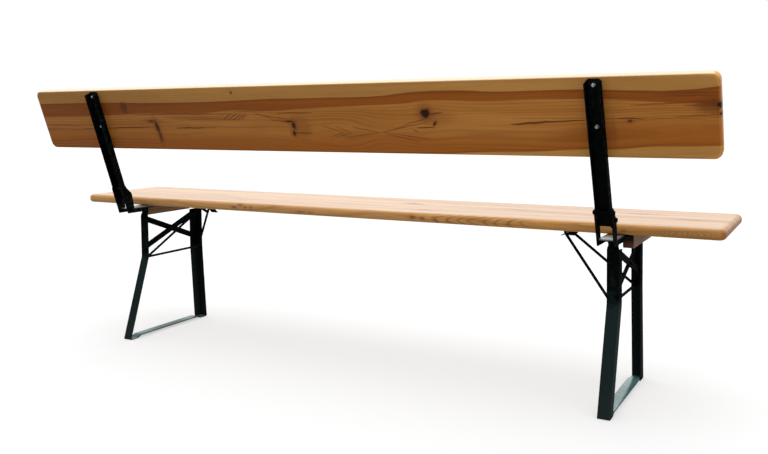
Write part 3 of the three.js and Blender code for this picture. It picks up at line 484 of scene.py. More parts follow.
backWood = {
    "sapwood": (0.41, 0.19, 0.046),
    "sapwoodPale": (0.5, 0.245, 0.062),
    "heartwood": (0.33, 0.095, 0.009),
    "heartwoodDark": (0.25, 0.064, 0.006),
    "honey": (0.4, 0.148, 0.023),
    "honeyPale": (0.51, 0.215, 0.046),
    "honeyLow": (0.365, 0.112, 0.012),
    "lateWood": (0.15, 0.035, 0.005),
    "knot": (0.022, 0.006, 0.003),
    "branch": (0.085, 0.018, 0.004),
    "stain": (0.125, 0.03, 0.005),
    "topHighlight": (0.8, 0.62, 0.44),  # painted highlight on the narrow top face
    "endGrain": (0.42, 0.17, 0.045),
    "figure": {"Pith Depth": -0.05, "Pith Across": 0.055, "Ring Width": 0.0062, "Warp": 0.008, "Seed": 4.0},
    # how strongly each mark covers the wood below it
    "share": {"rims": 0.3, "fibres": 0.14, "streaks": 0.62, "halo": 0.45, "strokes": 0.72, "cracks": 0.85,
              "topHighlight": 0.85, "endGrain": 0.55, "rings": 0.12, "ringZones": 0.34, "lines": 0.13,
              "linesLeft": 0.62, "linesRight": 0.38, "sapFaint": 0.78},
    # from where to where a pattern, a height or a distance takes a finish from nothing to full
    "span": {"tone": (0.32, 0.68), "honey": (0.012, 0.085), "honeyPale": (0.02, 0.1),
             "sapwood": (-0.0012, 0.0018), "heartwood": (-0.0022, 0.0012), "zones": (0.34, 0.62),
             "fibres": (0.45, 0.75), "knot": (0.65, 0.95), "topHighlight": (-0.0028, -0.0008),
             "end": (-0.0042, -0.002), "sunk": (-0.84, -0.66), "lightness": (-0.55, 0.95)},
    "wave": (7, 25, 25),  # cells of the noise that waves the borders, and by how much
    "waveHeight": 0.004,
    "zones": (1.6, 14, 14),  # cells of the patches with stronger lines
    "rims": (-0.003, -0.0035, 0.0022),  # dark lines outside the upper and lower sapwood, and their reach
    "rough": (0.34, 0.16),  # least, and how much the fibres add
    "specular": 0.14,
    # borders of the sapwood above, the heartwood stripe and the sapwood below, as x and height
    "borders": [
        [(-1.1, 0.174), (-0.995, 0.165), (-0.925, 0.167), (-0.794, 0.171), (-0.554, 0.172), (-0.472, 0.176),
         (-0.362, 0.175), (-0.293, 0.17), (-0.247, 0.166), (-0.025, 0.163), (0.153, 0.162), (0.299, 0.158),
         (0.544, 0.156), (0.777, 0.16), (1.1, 0.159)],
        [(-1.1, 0.128), (-1.062, 0.133), (-0.994, 0.137), (-0.924, 0.142), (-0.851, 0.147), (-0.658, 0.15),
         (-0.551, 0.147), (-0.382, 0.151), (-0.313, 0.144), (-0.218, 0.141), (-0.018, 0.134), (0.137, 0.129),
         (0.277, 0.129), (0.401, 0.12), (0.655, 0.122), (0.794, 0.116), (1.1, 0.114)],
        [(-1.1, 0.034), (-1.058, 0.032), (-0.952, 0.029), (-0.861, 0.021), (-0.784, 0.02), (-0.642, 0.012),
         (-0.513, 0.009), (-0.424, 0.003), (-0.3, 0), (0.5, 0), (1.1, 0)],
    ],
    # along, across, half length, half width, slant, reach, strength of the bend, depth of the core
    "knots": [
        (-0.373, 0.116, 0.015, 0.015, 0, 0.03, -0.75, 1),
        (-0.396, 0.087, 0.0045, 0.007, -0.5, 0.012, -0.5, 0.9),
        (0.254, 0.184, 0.0035, 0.0035, 0, 0.012, -0.5, 1), (-0.9, 0.093, 0.006, 0.0038, 0, 0.012, -0.5, 0.8),
        (-1.101, 0.129, 0.01, 0.009, 0.3, 0.03, -0.9, 0.95),
        (-1.101, 0.108, 0.006, 0.006, 0.3, 0.02, -0.6, 0.95),
        (0.067, 0.094, 0.015, 0.0038, 0, 0.014, -0.5, 0.9),
        (0.054, 0.082, 0.007, 0.012, 0.1, 0.02, -0.4, 0.9), (0.058, 0.058, 0.007, 0.009, 0, 0.014, -0.4, 0.9),
        (0.6, 0.096, 0.024, 0.004, 0, 0.014, -0.4, 0.75),
        (0.583, 0.076, 0.009, 0.021, 0.12, 0.018, -0.4, 0.85),
        (0.578, 0.046, 0.007, 0.02, 0, 0.016, -0.3, 0.75),
    ],
    # along, across, half length, half width, strength of the stain
    "smudges": [
        (0.706, 0.148, 0.008, 0.007, 0.75), (0.705, 0.139, 0.008, 0.01, 0.7),
        (-1.085, 0.128, 0.022, 0.01, 0.6), (0.03, 0.076, 0.02, 0.02, 0.3), (-0.86, 0.066, 0.005, 0.022, 0.2),
        (-0.4, 0.105, 0.03, 0.014, 0.2),
    ],
    # places that only bend the grain: along, across, reach, strength
    "bends": [
        (-0.12, 0.06, 0.046, -0.9), (-0.228, 0.06, 0.034, 1.3), (-0.345, 0.068, 0.026, -0.7),
        (0.47, 0.08, 0.036, -0.4), (-1.095, 0.128, 0.05, 0.9),
    ],
    # from, to, across, slope, half width
    "cracks": [
        (0.6, 0.81, 0.0765, -0.024, 0.0018), (0.8, 0.925, 0.0715, -0.008, 0.001),
        (0.375, 0.51, 0.0745, -0.012, 0.0022), (0.34, 0.39, 0.0745, 0, 0.001),
        (-0.008, 0.056, 0.059, 0, 0.0016), (-0.392, -0.34, 0.0755, 0, 0.0018),
        (-0.424, -0.382, 0.1175, -0.1, 0.0017), (-0.345, -0.328, 0.064, 0.35, 0.0014),
        (-0.8, -0.602, 0.0959, -0.056, 0.0022), (-0.73, -0.606, 0.092, -0.056, 0.0032),
        (-0.935, -0.87, 0.0975, 0.02, 0.0012),
    ],
    # the same for the softer, lighter lines of the grain
    "streaks": [
        (0.24, 0.68, 0.1175, 0.002, 0.0023), (0.22, 0.52, 0.1015, 0.006, 0.0023),
        (0.28, 0.56, 0.1085, 0.004, 0.0016), (0.06, 0.25, 0.129, -0.02, 0.0016),
        (0.12, 0.19, 0.102, 0.28, 0.0019), (0.04, 0.13, 0.0935, 0.04, 0.0019),
        (0.07, 0.17, 0.101, 0.13, 0.0018), (-0.02, 0.11, 0.1195, 0, 0.0023),
        (-0.23, -0.14, 0.06, 0.19, 0.0016), (-0.228, -0.11, 0.061, -0.13, 0.0016),
        (-0.31, -0.225, 0.077, -0.19, 0.0018), (-0.38, -0.3, 0.102, -0.24, 0.0018),
        (-0.372, -0.27, 0.09, -0.17, 0.0016), (-0.38, -0.24, 0.043, 0.13, 0.0018),
        (-0.35, -0.236, 0.035, 0.21, 0.0016), (-0.138, -0.088, 0.06, 0.38, 0.0015),
        (-0.138, -0.075, 0.06, -0.26, 0.0015), (-0.112, -0.04, 0.06, 0.31, 0.0014),
        (-0.112, -0.06, 0.06, -0.25, 0.0014), (-1.1, -0.97, 0.152, 0.01, 0.0016),
        (-1.1, -0.9, 0.141, -0.05, 0.0022), (-1.1, -1.02, 0.129, 0.01, 0.0022),
        (-1.1, -0.98, 0.16, 0, 0.0018), (-1.1, -1, 0.108, -0.05, 0.0016), (-1.1, -0.6, 0.1, 0, 0.0008),
    ],
    # short slanting strokes: middle and length of each, and their height, slope and half width
    "feather": [(0.29, 0.034), (0.271, 0.042), (0.253, 0.04), (0.238, 0.032), (0.225, 0.024)],
    "featherStroke": (0.109, -0.52, 0.0019),
    "lightness": (1.19, 0.92),  # of the whole board at its left and right ends
    "sunkRise": 0.04,  # how much higher the darker lower part reaches near the left end
    # painted highlight in a strip inside the left outline, as the eased edge catching the light: from, to,
    # its fade along the board, and how much lighter it is
    "leftEdgeHighlight": (-0.0066, -0.0048, 0.03, 1.3),
}


def backrestMaterial(origin, recline):
    look, share, span, late = backWood, backWood["share"], backWood["span"], backWood["lateWood"]
    material, tree, shader = newMaterial("lacquered pine backrest")
    point = boardPoint(tree, origin, (-recline, 0, 0))
    bent, core, halo = addKnots(point, look["knots"], look["bends"])
    figure = use(grain, bent, look["figure"])
    length, width = boardShape["backrest"]["outline"]
    x, _, z = split(point)
    height = z + (stretched(point, look["wave"]) - 0.5) * look["waveHeight"]
    sapLine, heartLine, lowLine = (borderLine(x, length / 2, line) for line in look["borders"])
    sap, heart, low = height - sapLine, height - heartLine, lowLine - height

    tone = band(figure["Tone"], *span["tone"])
    risen = height - without(x, *span["sunk"]) * look["sunkRise"]
    honey = mix(band(risen, *span["honey"]), look["honeyLow"], look["honey"])
    honey = mix(tone * band(risen, *span["honeyPale"]), honey, look["honeyPale"])
    heartwood = mix(tone, look["heartwoodDark"], look["heartwood"])
    sapwood = mix(tone, look["sapwood"], look["sapwoodPale"])
    isSap = strongest([band(sap, *span["sapwood"]), band(low, *span["sapwood"])])
    upperRim, lowerRim, reach = look["rims"]
    rims = sap.then("COMPARE", upperRim, reach) + low.then("COMPARE", lowerRim, reach)

    # the lines of the grain are fainter in the sapwood, in patches, and towards the left end
    toRight = band(x, *span["lightness"])
    zones = band(stretched(point, look["zones"], offset=(2, 5, 3)), *span["zones"])
    rings = figure["Rings"] * (share["rings"] + zones * share["ringZones"])
    lines = rings + figure["Lines"] * share["lines"]
    lines = lines * (share["linesLeft"] + toRight * share["linesRight"]) * (1 - isSap * share["sapFaint"])
    fibres = band(figure["Fibres"], *span["fibres"])
    cracks = lineMask(point, look["cracks"])
    tall, slope, halfWidth = look["featherStroke"]
    strokes = [(along - long / 2, along + long / 2, tall - slope * long / 2, slope, halfWidth)
               for along, long in look["feather"]]
    smudges = [(use(knot, point, dict(zip(knotNumbers, spot[:4])))["Halo"] * spot[4], look["stain"])
               for spot in look["smudges"]]
    colour = layered(
        mix(band(heart, *span["heartwood"]), honey, heartwood),
        (rims * share["rims"], late),
        (isSap, sapwood),
        (lines, late),
        (fibres * share["fibres"], late),
        (lineMask(point, look["streaks"]) * share["streaks"], late),
        *smudges,
        (halo * share["halo"], look["stain"]),
        (core, mix(band(core, *span["knot"]), look["branch"], look["knot"])),
        (lineMask(point, strokes) * share["strokes"], look["branch"]),
        (cracks * share["cracks"], look["branch"]))
    leftLight, rightLight = look["lightness"]
    colour = dimmed(colour, leftLight + toRight * (rightLight - leftLight))

    # the narrow faces: a painted highlight along the top, end grain at both ends
    topHighlight = band(z - width, *span["topHighlight"])
    atEnd = band(abs(x) - length / 2, *span["end"])
    colour = layered(
        colour,
        (topHighlight * share["topHighlight"], look["topHighlight"]),
        (atEnd * (1 - core) * share["endGrain"], look["endGrain"]))
    # distance from the rounded outline, below zero inside: the length of what is past the corner's middle
    corner = boardShape["backrest"]["corner"]
    pastX = abs(x) - (length / 2 - corner)
    pastZ = abs(z - width / 2) - (width / 2 - corner)
    past = join(tree, pastX.then("MAXIMUM", 0.0), pastZ.then("MAXIMUM", 0.0))
    outward = add(tree, "VectorMath", {0: past}, "Value", operation="LENGTH") - corner
    # a lighter strip inside the left outline, painted in as the highlight of the eased edge
    begin, stop, fade, lighter = look["leftEdgeHighlight"]
    leftCorner = corner - length / 2
    edgeHighlight = band(outward, begin, stop) * (1 - topHighlight) * without(x, leftCorner, leftCorner + fade)
    colour = dimmed(colour, 1 + edgeHighlight * (1 - core) * (lighter - 1))

    lacquer(tree, shader, look, figure, colour, cracks)
    return material


seatWood = {
    "pale": (0.52, 0.33, 0.17),
    "honey": (0.43, 0.25, 0.115),
    "streak": (0.3, 0.165, 0.095),
    "lateWood": (0.26, 0.115, 0.032),
    "edgeWarm": (0.79, 0.345, 0.045),
    "edgeDark": (0.56, 0.235, 0.022),
    "endGrain": (0.34, 0.12, 0.028),
    "knot": (0.11, 0.042, 0.016),
    "figure": {"Pith Depth": -0.035, "Pith Across": -0.14, "Ring Width": 0.008, "Warp": 0.014, "Seed": 11.0},
    "share": {"streaks": 0.7, "rings": 0.36, "lines": 0.12, "fibres": 0.14, "halo": 0.45, "edgeHalo": 0.5,
              "edge": 0.62, "arches": 0.72, "side": 0.56, "sideLeft": 0.36, "end": 0.22, "endRidges": 0.62},
    "span": {"tone": (0.38, 0.66), "streaks": (0.5, 0.62), "fibres": (0.45, 0.75),
             "rearFace": (-0.012, -0.006), "side": (0.002, 0.022), "sideDark": (-1.0, -0.6),
             "sideStrong": (-1.1, 0.5), "stripe": (0.28, 0.46), "ridges": (0.42, 0.58),
             "end": (-0.018, -0.005)},
    "rough": (0.3, 0.16),
    "specular": 0.26,
    # along, across, half length, half width, slant, reach, strength of the bend, depth of the core
    "knots": [
        (-0.243, -0.072, 0.026, 0.009, 0.3, 0.03, -0.7, 0.6), (-0.15, -0.2, 0.03, 0.01, 0.3, 0.03, -0.7, 0.8),
        (-0.125, -0.215, 0.02, 0.008, 0, 0.03, -0.7, 0.6), (-0.836, -0.228, 0.04, 0.008, 0, 0.03, -0.7, 0.8),
        (-0.982, -0.156, 0.036, 0.007, 0, 0.03, -0.7, 0.8), (0.469, -0.094, 0.012, 0.006, 0, 0.02, -0.6, 0.4),
        (-0.5, -0.19, 0.05, 0.008, 0, 0.03, -0.5, 0.4), (0.62, -0.17, 0.06, 0.01, 0, 0.03, -0.5, 0.4),
        (0.05, -0.12, 0.06, 0.008, 0, 0.03, -0.5, 0.3),
    ],
    # the same on the rear edge, across counted upwards from the underside
    "edgeKnots": [
        (0.417, 0.013, 0.01, 0.005, 0, 0.012, -0.8, 0.5), (0.393, 0.021, 0.012, 0.004, 0, 0.01, -0.8, 0.5),
        (0.372, 0.014, 0.006, 0.004, 0, 0.01, -0.8, 0.5), (0.349, 0.014, 0.006, 0.004, 0, 0.01, -0.8, 0.4),
        (0.154, 0.01, 0.02, 0.003, 0, 0.01, -0.6, 0.4), (0.118, 0.01, 0.012, 0.003, 0, 0.01, -0.6, 0.35),
        (-0.238, 0.014, 0.01, 0.005, 0, 0.012, -0.9, 0.6), (-0.27, 0.013, 0.007, 0.005, 0, 0.01, -0.9, 0.5),
        (-0.312, 0.01, 0.006, 0.004, 0, 0.01, -0.8, 0.5), (-0.845, 0.012, 0.008, 0.004, 0, 0.01, -0.8, 0.35),
    ],
    # middle, half length, pitch of the nested arches on the rear edge, and their lean
    "arches": [(-0.44, 0.17, 0.036, 2.6), (-0.99, 0.075, 0.014, -2.6)],
    "archCurve": 0.012,
    "archHeight": 0.013,
    "archWave": 0.05,
    "archFade": (0.6, 1.1),  # in half lengths
}


def seatMaterial(origin, middleX, halfLength):
    look, share, span, late = seatWood, seatWood["share"], seatWood["span"], seatWood["lateWood"]
    material, tree, shader = newMaterial("lacquered pine seat")
    flat = boardPoint(tree, origin, (0, 0, 0))
    a, b, c = split(flat)
    bent, core, halo = addKnots(join(tree, a, c, b), look["knots"])
    figure = use(grain, bent, look["figure"])
    streaks = band(stretched(bent, (0.8, 40, 40), offset=(5, 2, 1)), *span["streaks"])
    # the sides below the rounding are redder, and darker towards the left end of the plank
    onEdge = band(b, *span["rearFace"])
    side = strongest([without(c, *span["side"]), onEdge * share["edge"]])
    sideColour = mix(without(a, *span["sideDark"]), look["edgeWarm"], look["edgeDark"])
    # knots and nested arches on the narrow rear face: stripes of equal x + lean (height - middle)^2 / curve
    bentEdge, edgeCore, edgeHalo = addKnots(join(tree, a, b, c), look["edgeKnots"])
    offMiddle = split(bentEdge)[2] - look["archHeight"]
    offMiddle = offMiddle * offMiddle / look["archCurve"]
    wavy = a + stretched(flat, (16, 50, 50)) * look["archWave"]
    whole, gone = look["archFade"]
    arches = []
    for middle, half, pitch, lean in look["arches"]:
        stripe = ((wavy + offMiddle * lean) / pitch).then("FRACT")
        arch = band(abs(stripe - 0.5), *span["stripe"]) * without(abs(a - middle), half * whole, half * gone)
        arches.append((arch * onEdge * share["arches"], late))
    # ridges of end grain where the rounding cuts the fibres, half of the thickness in from either end
    fromEnd = abs(a - middleX) - halfLength
    ridges = band(stretched(flat, (12, 42, 40)), *span["ridges"])
    colour = layered(
        mix(band(figure["Tone"], *span["tone"]), look["pale"], look["honey"]),
        (streaks * share["streaks"], look["streak"]),
        (side * (share["side"] + without(a, *span["sideStrong"]) * share["sideLeft"]), sideColour),
        (figure["Rings"] * share["rings"] + figure["Lines"] * share["lines"], late),
        (band(figure["Fibres"], *span["fibres"]) * share["fibres"], late),
        (halo * share["halo"], late),
        (core, look["knot"]),
        (edgeHalo * onEdge * share["edgeHalo"], late),
        (edgeCore * onEdge, look["knot"]),
        *arches,
        (band(fromEnd, *span["end"]) * (share["end"] + ridges * share["endRidges"]), look["endGrain"]))
    lacquer(tree, shader, look, figure, colour)
    return material


def boardPoints(length, width, thickness, corner, edge):
    # rings of a rectangle with round corners, length along x, width along z, stacked through thickness y:
    # at angle t of the eased edge a ring is drawn in by edge (1 - cos t) and stands edge sin t to its face
    rise = np.linspace(0, np.pi / 2, boardShape["edgeSteps"])
    drawnIn, below = edge * (1 - np.cos(rise)), edge * (1 - np.sin(rise))
    flat = [edge + boardShape["flatRing"]]
    inset = np.concatenate([flat, drawnIn[::-1], drawnIn, flat])
    level = np.concatenate([[0], below[::-1], thickness - below, [thickness]])
    steps = boardShape["cornerSteps"]
    angle = (np.linspace(0, np.pi / 2, steps) + np.arange(4)[:, None] * np.pi / 2).ravel()
    signX, signZ = np.repeat([1, -1, -1, 1], steps), np.repeat([1, 1, -1, -1], steps)
    radius = (corner - inset)[:, None]
    x = signX * (length / 2 - corner) + radius * np.cos(angle)
    z = signZ * (width / 2 - corner) + radius * np.sin(angle)
    return np.stack([x, np.broadcast_to(level[:, None], x.shape), z], -1)


def middleAndHalf(node):
    # middle of a node's box and half of its size
    low, high = (np.array(corner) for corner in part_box(node))
    return (low + high) / 2, (high - low) / 2


def nodePoints(name):
    mesh = frame["nodes"][name].data
    points = np.zeros(len(mesh.vertices) * 3)
    mesh.vertices.foreach_get("co", points)
    return points.reshape(-1, 3)


def uprightBox(node):
    # corners of a node of the backrest, turned upright about the pivot
    local = (nodePoints(node) - pivot) @ turn
    return local.min(0), local.max(0)


def buildSeat():
    shape = boardShape["seat"]
    middle, half = middleAndHalf(shape["node"])
    along, through, across = np.moveaxis(boardPoints(*2 * half, shape["corner"], shape["edge"]), -1, 0)
    underside = middle[2] - half[2]
    points = np.stack([middle[0] + along, middle[1] - across, underside + through], -1)
    material = seatMaterial((0, middle[1] + half[1], underside), middle[0], half[0])
    plank = meshObject("seat_plank", points, capped(points), 60)
    fit(plank, "seat", ("seat_wood", material), shape["node"])


def buildBackrest():
    shape = boardShape["backrest"]
    low, high = uprightBox(shape["node"])
    length, thickness, width = high - low
    points = boardPoints(length, width, thickness, shape["corner"], shape["edge"])
    points = points + np.array([(low[0] + high[0]) / 2, low[1], (low[2] + high[2]) / 2])
    points = points @ turn.T + pivot
    origin = np.array([0, high[1], low[2]]) @ turn.T + pivot
    material = backrestMaterial(tuple(origin), shape["recline"])
    plank = meshObject("backrest_plank", points, capped(points), 60)
    fit(plank, "backrest", ("back_wood", material), shape["node"])


turn = np.array(Matrix.Rotation(-boardShape["backrest"]["recline"], 3, "X"))
pivot = np.array(jointAt["backrest_fold"])
buildSeat()
buildBackrest()
print("folding bench: planks")

# Steel and battens

battenWood = {
    "pale": (0.29, 0.16, 0.078),
    "brown": (0.19, 0.086, 0.034),
    "lateWood": (0.11, 0.036, 0.012),
    "endGrain": (0.12, 0.04, 0.016),
    "shade": (0.006, 0.001, 0.0003),  # painted shadow on the end, darkest where it meets the plank
    "figure": {"Pith Depth": 0.8, "Pith Across": 0.4, "Ring Width": 0.005, "Warp": 0.008, "Seed": 2.0},
    "rings": 0.35,
    "tone": (0.35, 0.65),
    "end": (-0.004, -0.001),  # where the end grain starts, in from the rear end
    "shadeHeight": (0.01, 0.024),
}


def battenMaterial():
    look = battenWood
    material, tree, shader = newMaterial("lacquered pine batten")
    a, b, c = split(objectPoint(tree))
    figure = use(grain, join(tree, b, a, c), look["figure"])
    low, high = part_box("batten_left")
    # the end grain is painted near black towards the plank, as the shadow under the seat
    shade = band(c, *(low[2] + height for height in look["shadeHeight"]))
    atEnd = band(b, *(high[1] + depth for depth in look["end"]))
    colour = layered(
        mix(band(figure["Tone"], *look["tone"]), look["brown"], look["pale"]),
        (figure["Rings"] * look["rings"], look["lateWood"]),
        (atEnd, mix(shade, look["endGrain"], look["shade"])))
    plug(tree, shader, {
        "Base Color": colour, "Roughness": 0.5, "Normal": raised(figure["Fibres"]),
        "Specular IOR Level": 0.2})
    return material


steelLook = {
    "paint": (0.0012, 0.0016, 0.002),
    "paintLowReflection": (0.011, 0.02, 0.02),  # painted reflection: greener and lighter below the bend of the rear legs
    "paintFlangeReflection": (0.03, 0.044, 0.044),
    "paintWorn": (0.014, 0.024, 0.022),
    "paintFloorReflection": (0.065, 0.18, 0.182),  # painted reflection on the tops of the bars on the floor, weaker between their pads
    "paintFloorReflectionDim": (0.012, 0.055, 0.056),
    "barMiddle": -0.045,
    "barGloss": (0.9, 0.45),  # at the left frame, and how much less at the right one
    "gloss": 0.045,
    "dust": (0.16, 0.15, 0.13),
    "share": {"front": 0.4, "rear": 0.6, "between": 0.15, "betweenRight": 0.75, "dull": 0.35, "worn": 0.5,
              "dirt": 0.06},
    "span": {"low": (0.262, 0.292), "rear": (-0.1, -0.04), "flange": (0.5, 0.9), "top": (0.6, 0.9),
             "barHeight": (0.03, 0.06), "barFade": (0.045, 0.115), "toRight": (-0.5, 0.5)},
    "rough": (0.24, 0.24),  # least, and how much the streaks add
    "wear": {"Low Edge": 0.51, "High Edge": 0.56, "Broken": 0.42},
    "zinc": (0.52, 0.54, 0.54),
    "zincBright": (0.42, 0.43, 0.43),
    "plate": (0.3, 0.3, 0.29),
    "plateDull": (0.16, 0.16, 0.15),
    "plateMiddle": 0.819,
    "plateFade": (0.022, 0.027),
    "spangle": (0.35, 0.65),  # shares of the crystals and of the clouds
    "zincRough": (0.28, 0.25),
    "screwDull": (0.06, 0.06, 0.056),
    "screwWorn": (0.14, 0.14, 0.132),
    "metallic": 0.9,
}


def paintMaterial():
    look, share, span = steelLook, steelLook["share"], steelLook["span"]
    material, tree, shader = newMaterial("dark satin paint")
    point = objectPoint(tree)
    x, y, z = split(point)
    worn = use(wear, point, look["wear"])
    streaks = stretched(point, (90, 90, 4), detail=4, rough=0.6)
    orange = stretched(point, (350, 350, 350))
    normal = add(tree, "VectorTransform", {0: add(tree, "NewGeometry", {}, "Normal")}, vector_type="NORMAL",
                 convert_from="WORLD", convert_to="OBJECT")
    facingX, _, facingZ = split(normal)
    # painted reflection: below the bend of the legs the paint is drawn greener and lighter, more so on faces
    # turned along the bench
    low = without(z + (orange - 0.5) * 0.02, *span["low"])
    low = low * (share["front"] + band(y, *span["rear"]) * share["rear"])
    lowReflection = mix(band(abs(facingX), *span["flange"]), look["paintLowReflection"], look["paintFlangeReflection"])
    # painted reflection on the tops of the bars on the floor, weaker between their pads, above all in the
    # right frame
    onFloor = band(facingZ, *span["top"]) * without(z, *span["barHeight"])
    toRight = band(x, *span["toRight"])
    between = without(abs(y - look["barMiddle"]), *span["barFade"])
    between = between * (share["between"] + toRight * share["betweenRight"])
    colour = layered(
        mix(low, look["paint"], lowReflection),
        (onFloor, mix(between, look["paintFloorReflection"], look["paintFloorReflectionDim"])),
        (worn["Edge"] * share["worn"], look["paintWorn"]),
        (worn["Dirt"] * share["dirt"], look["dust"]))
    leftGloss, lessRight = look["barGloss"]
    sheen = (leftGloss - toRight * lessRight) * (1 - between * share["dull"])
    smooth, rougher = look["rough"]
    plug(tree, shader, {
        "Base Color": colour, "Roughness": smooth + streaks * rougher,
        "Normal": raised(orange * 0.35 + streaks * 0.8, 0.22, 0.0005),
        "Coat Weight": look["gloss"] + onFloor * sheen, "Coat Roughness": 0.25,
        "Specular IOR Level": 0.0})
    return material


def zincMaterial(name, dull, bright, worn=1.0):
    # worn: how much of the zinc look a plate keeps outside its two cheeks; beyond them it is mixed towards
    # the dark worn-paint colour
    look = steelLook
    material, tree, shader = newMaterial(name)
    point = objectPoint(tree)
    cells = split(add(tree, "TexVoronoi", {"Vector": point, "Scale": 260.0}, "Color"))[0]
    clouds = stretched(point, (60, 60, 60), detail=4)
    crystals, soft = look["spangle"]
    colour = mix(cells * crystals + clouds * soft, dull, bright)
    metallic = look["metallic"]
    smooth, rougher = look["zincRough"]
    if worn < 1:
        near = abs(split(point)[0]) - look["plateMiddle"] + (clouds - 0.5) * 0.02
        outside = band(near, *look["plateFade"]) * (1 - worn)
        colour = mix(outside, colour, look["paintWorn"])
        metallic = (1 - outside) * metallic
    plug(tree, shader, {"Base Color": colour, "Metallic": metallic, "Roughness": smooth + clouds * rougher})
    return material


# each finish with its slot
paint = "dark_paint", paintMaterial()
battenPine = "batten_wood", battenMaterial()
zinc = "zinc", zincMaterial("dull screws", steelLook["screwDull"], steelLook["screwWorn"])
boltZinc = "zinc", zincMaterial("bright nuts", steelLook["zincBright"], steelLook["zinc"])
plateZinc = "zinc", zincMaterial("worn base plates", steelLook["plateDull"], steelLook["plate"], 0.15)

easedPieces = [
    # nodes, body, finish, width and steps of the eased edges
    (["strut_"], "backrest", paint, 0.0007, 2),
    (["socket_"], "seat", paint, 0.0006, 2),
    (["base_plate_"], "seat", plateZinc, 0.0005, 2),
    (["leg_frame_"], "leg_{}", paint, 0.0009, 2),
    (["brace_low_", "brace_high_"], "leg_{}", paint, 0.0006, 2),
    (["hinge_rear_", "hinge_front_", "rod_catch_"], "seat", paint, 0.0006, 2),
    (["batten_"], "seat", battenPine, 0.002, 3),
]

for end in ends:
    for nodes, body, finish, width, segments in easedPieces:
        for node in nodes:
            fit(easedCopy(node + end, width, segments), body.format(end), finish, node + end)
print("folding bench: steel")

# Round pieces: rods, rivets, screws, bolts

screwLook = {"head": 0.0065, "rise": 0.0022, "shank": 0.0024, "recess": 0.0032, "depth": 0.0009}
rivetLook = {"head": 0.0046, "rise": 0.0024, "shank": 0.0025}
pinLook = {"radius": 0.004, "head": 0.0075, "thickness": 0.0024}
boltLook = {"washer": 0.0076, "washerThickness": 0.001, "hex": 0.0063, "hexHeight": 0.0034, "tail": 0.001,
            "seat": 0.0068, "chamfer": 0.0006, "spacerHalf": 0.0187}
backBoltLook = {"radius": 0.003, "head": 0.006, "headDepth": 0.0033, "washer": 0.0048,
                "washerThickness": 0.0016, "nut": 0.0045, "nutHeight": 0.005, "tail": 0.0025,
                "socket": 0.0022, "socketDepth": 0.0018, "proud": 0.0004, "chamfer": 0.0006}
rodLook = {"radius": 0.004, "reach": 0.156, "rise": 0.1655, "bend": 0.009, "head": 0.0065,
           "headThickness": 0.002, "wide": (-0.007, -0.2685), "narrow": (-0.10525, -0.15425)}
# the rod's two ends are y from the rear edge of the seat


def screwPiece(node):
    # points up from below: the head's rim is its seat, the shank stands in the wood
    middle, half = middleAndHalf(node)
    look = screwLook
    head = lathe(domeProfile(look["head"], look["rise"], 0, look["recess"], look["depth"]))
    shank = lathe(easedRod(look["shank"], look["rise"] - 2 * half[2], tipRadius, 0.0004), 12)
    place = middle + (0, 0, look["rise"] - half[2])
    return joinedParts(node, [placed(part, (0, 0, -1), place) for part in (head, shank)])


def rivetPiece(node):
    middle, half = middleAndHalf(node)
    look = rivetLook
    inner = half[0] - look["rise"]
    head = lathe(domeProfile(look["head"], look["rise"], inner), 24)
    parts = [placed(head, (s, 0, 0), middle) for s in (-1, 1)]
    shank = easedRod(look["shank"], tipRadius - inner, inner - tipRadius, 0.0004)
    return joinedParts(node, parts + [placed(lathe(shank, 12), (1, 0, 0), middle)])


def boltPiece(node, radius, spacer):
    # a hexagon and a washer at both ends, the shank standing out of the right-hand one
    middle, half = middleAndHalf(node)
    middle[0] -= radius / 2
    look = boltLook
    end = half[0] - radius / 2
    near = end - look["seat"]
    far = near + look["washerThickness"]
    outer = far + look["hexHeight"]
    parts = [lathe(easedRod(radius, 0.001 - outer, outer + look["tail"], 0.0007), 24)]
    for s in (-1, 1):
        parts.append(lathe(easedRod(look["washer"], *sorted((s * near, s * far)), 0.0003)))
        parts.append(hexagon(look["hex"], *sorted((s * far, s * outer)), look["chamfer"]))
    if spacer:
        parts.append(lathe(easedRod(spacer, -look["spacerHalf"], look["spacerHalf"], 0.0004), 24))
    return joinedParts(node, [placed(part, (1, 0, 0), middle) for part in parts])


def pinPiece(node):
    middle, half = middleAndHalf(node)
    look = pinLook
    inner = half[1] - look["thickness"]
    head = lathe(easedRod(look["head"], inner, half[1], 0.0006))
    parts = [placed(head, (0, s, 0), middle) for s in (-1, 1)]
    shank = easedRod(look["radius"], tipRadius - inner, inner - tipRadius, 0.0004)
    return joinedParts(node, parts + [placed(lathe(shank, 24), (0, 1, 0), middle)])


def backBoltPiece(node):
    # flush head with a socket in the front of the plank, washer and nut in the channel of the strut
    look = backBoltLook
    low, high = uprightBox(node)
    front, tail = low[1] - look["proud"], high[1]
    nutTop = tail - look["tail"]
    nutLow = nutTop - look["nutHeight"]
    floor, under = front + look["socketDepth"], front + look["headDepth"]
    head = [(tipRadius, floor), (look["socket"], floor), (look["socket"], front),
            (look["head"] - 0.0003, front), (look["head"], front + 0.0002), (look["radius"], under),
            (tipRadius, under)]
    parts = [lathe(head), lathe(easedRod(look["radius"], front + 0.0025, tail, 0.0006), 24),
             lathe(easedRod(look["washer"], nutLow - look["washerThickness"], nutLow, 0.0003)),
             hexagon(look["nut"], nutLow, nutTop, look["chamfer"])]
    middle = ((low[0] + high[0]) / 2, 0, (low[2] + high[2]) / 2)
    return joinedParts(node, [placed(part, (0, 1, 0), middle) @ turn.T + pivot for part in parts])


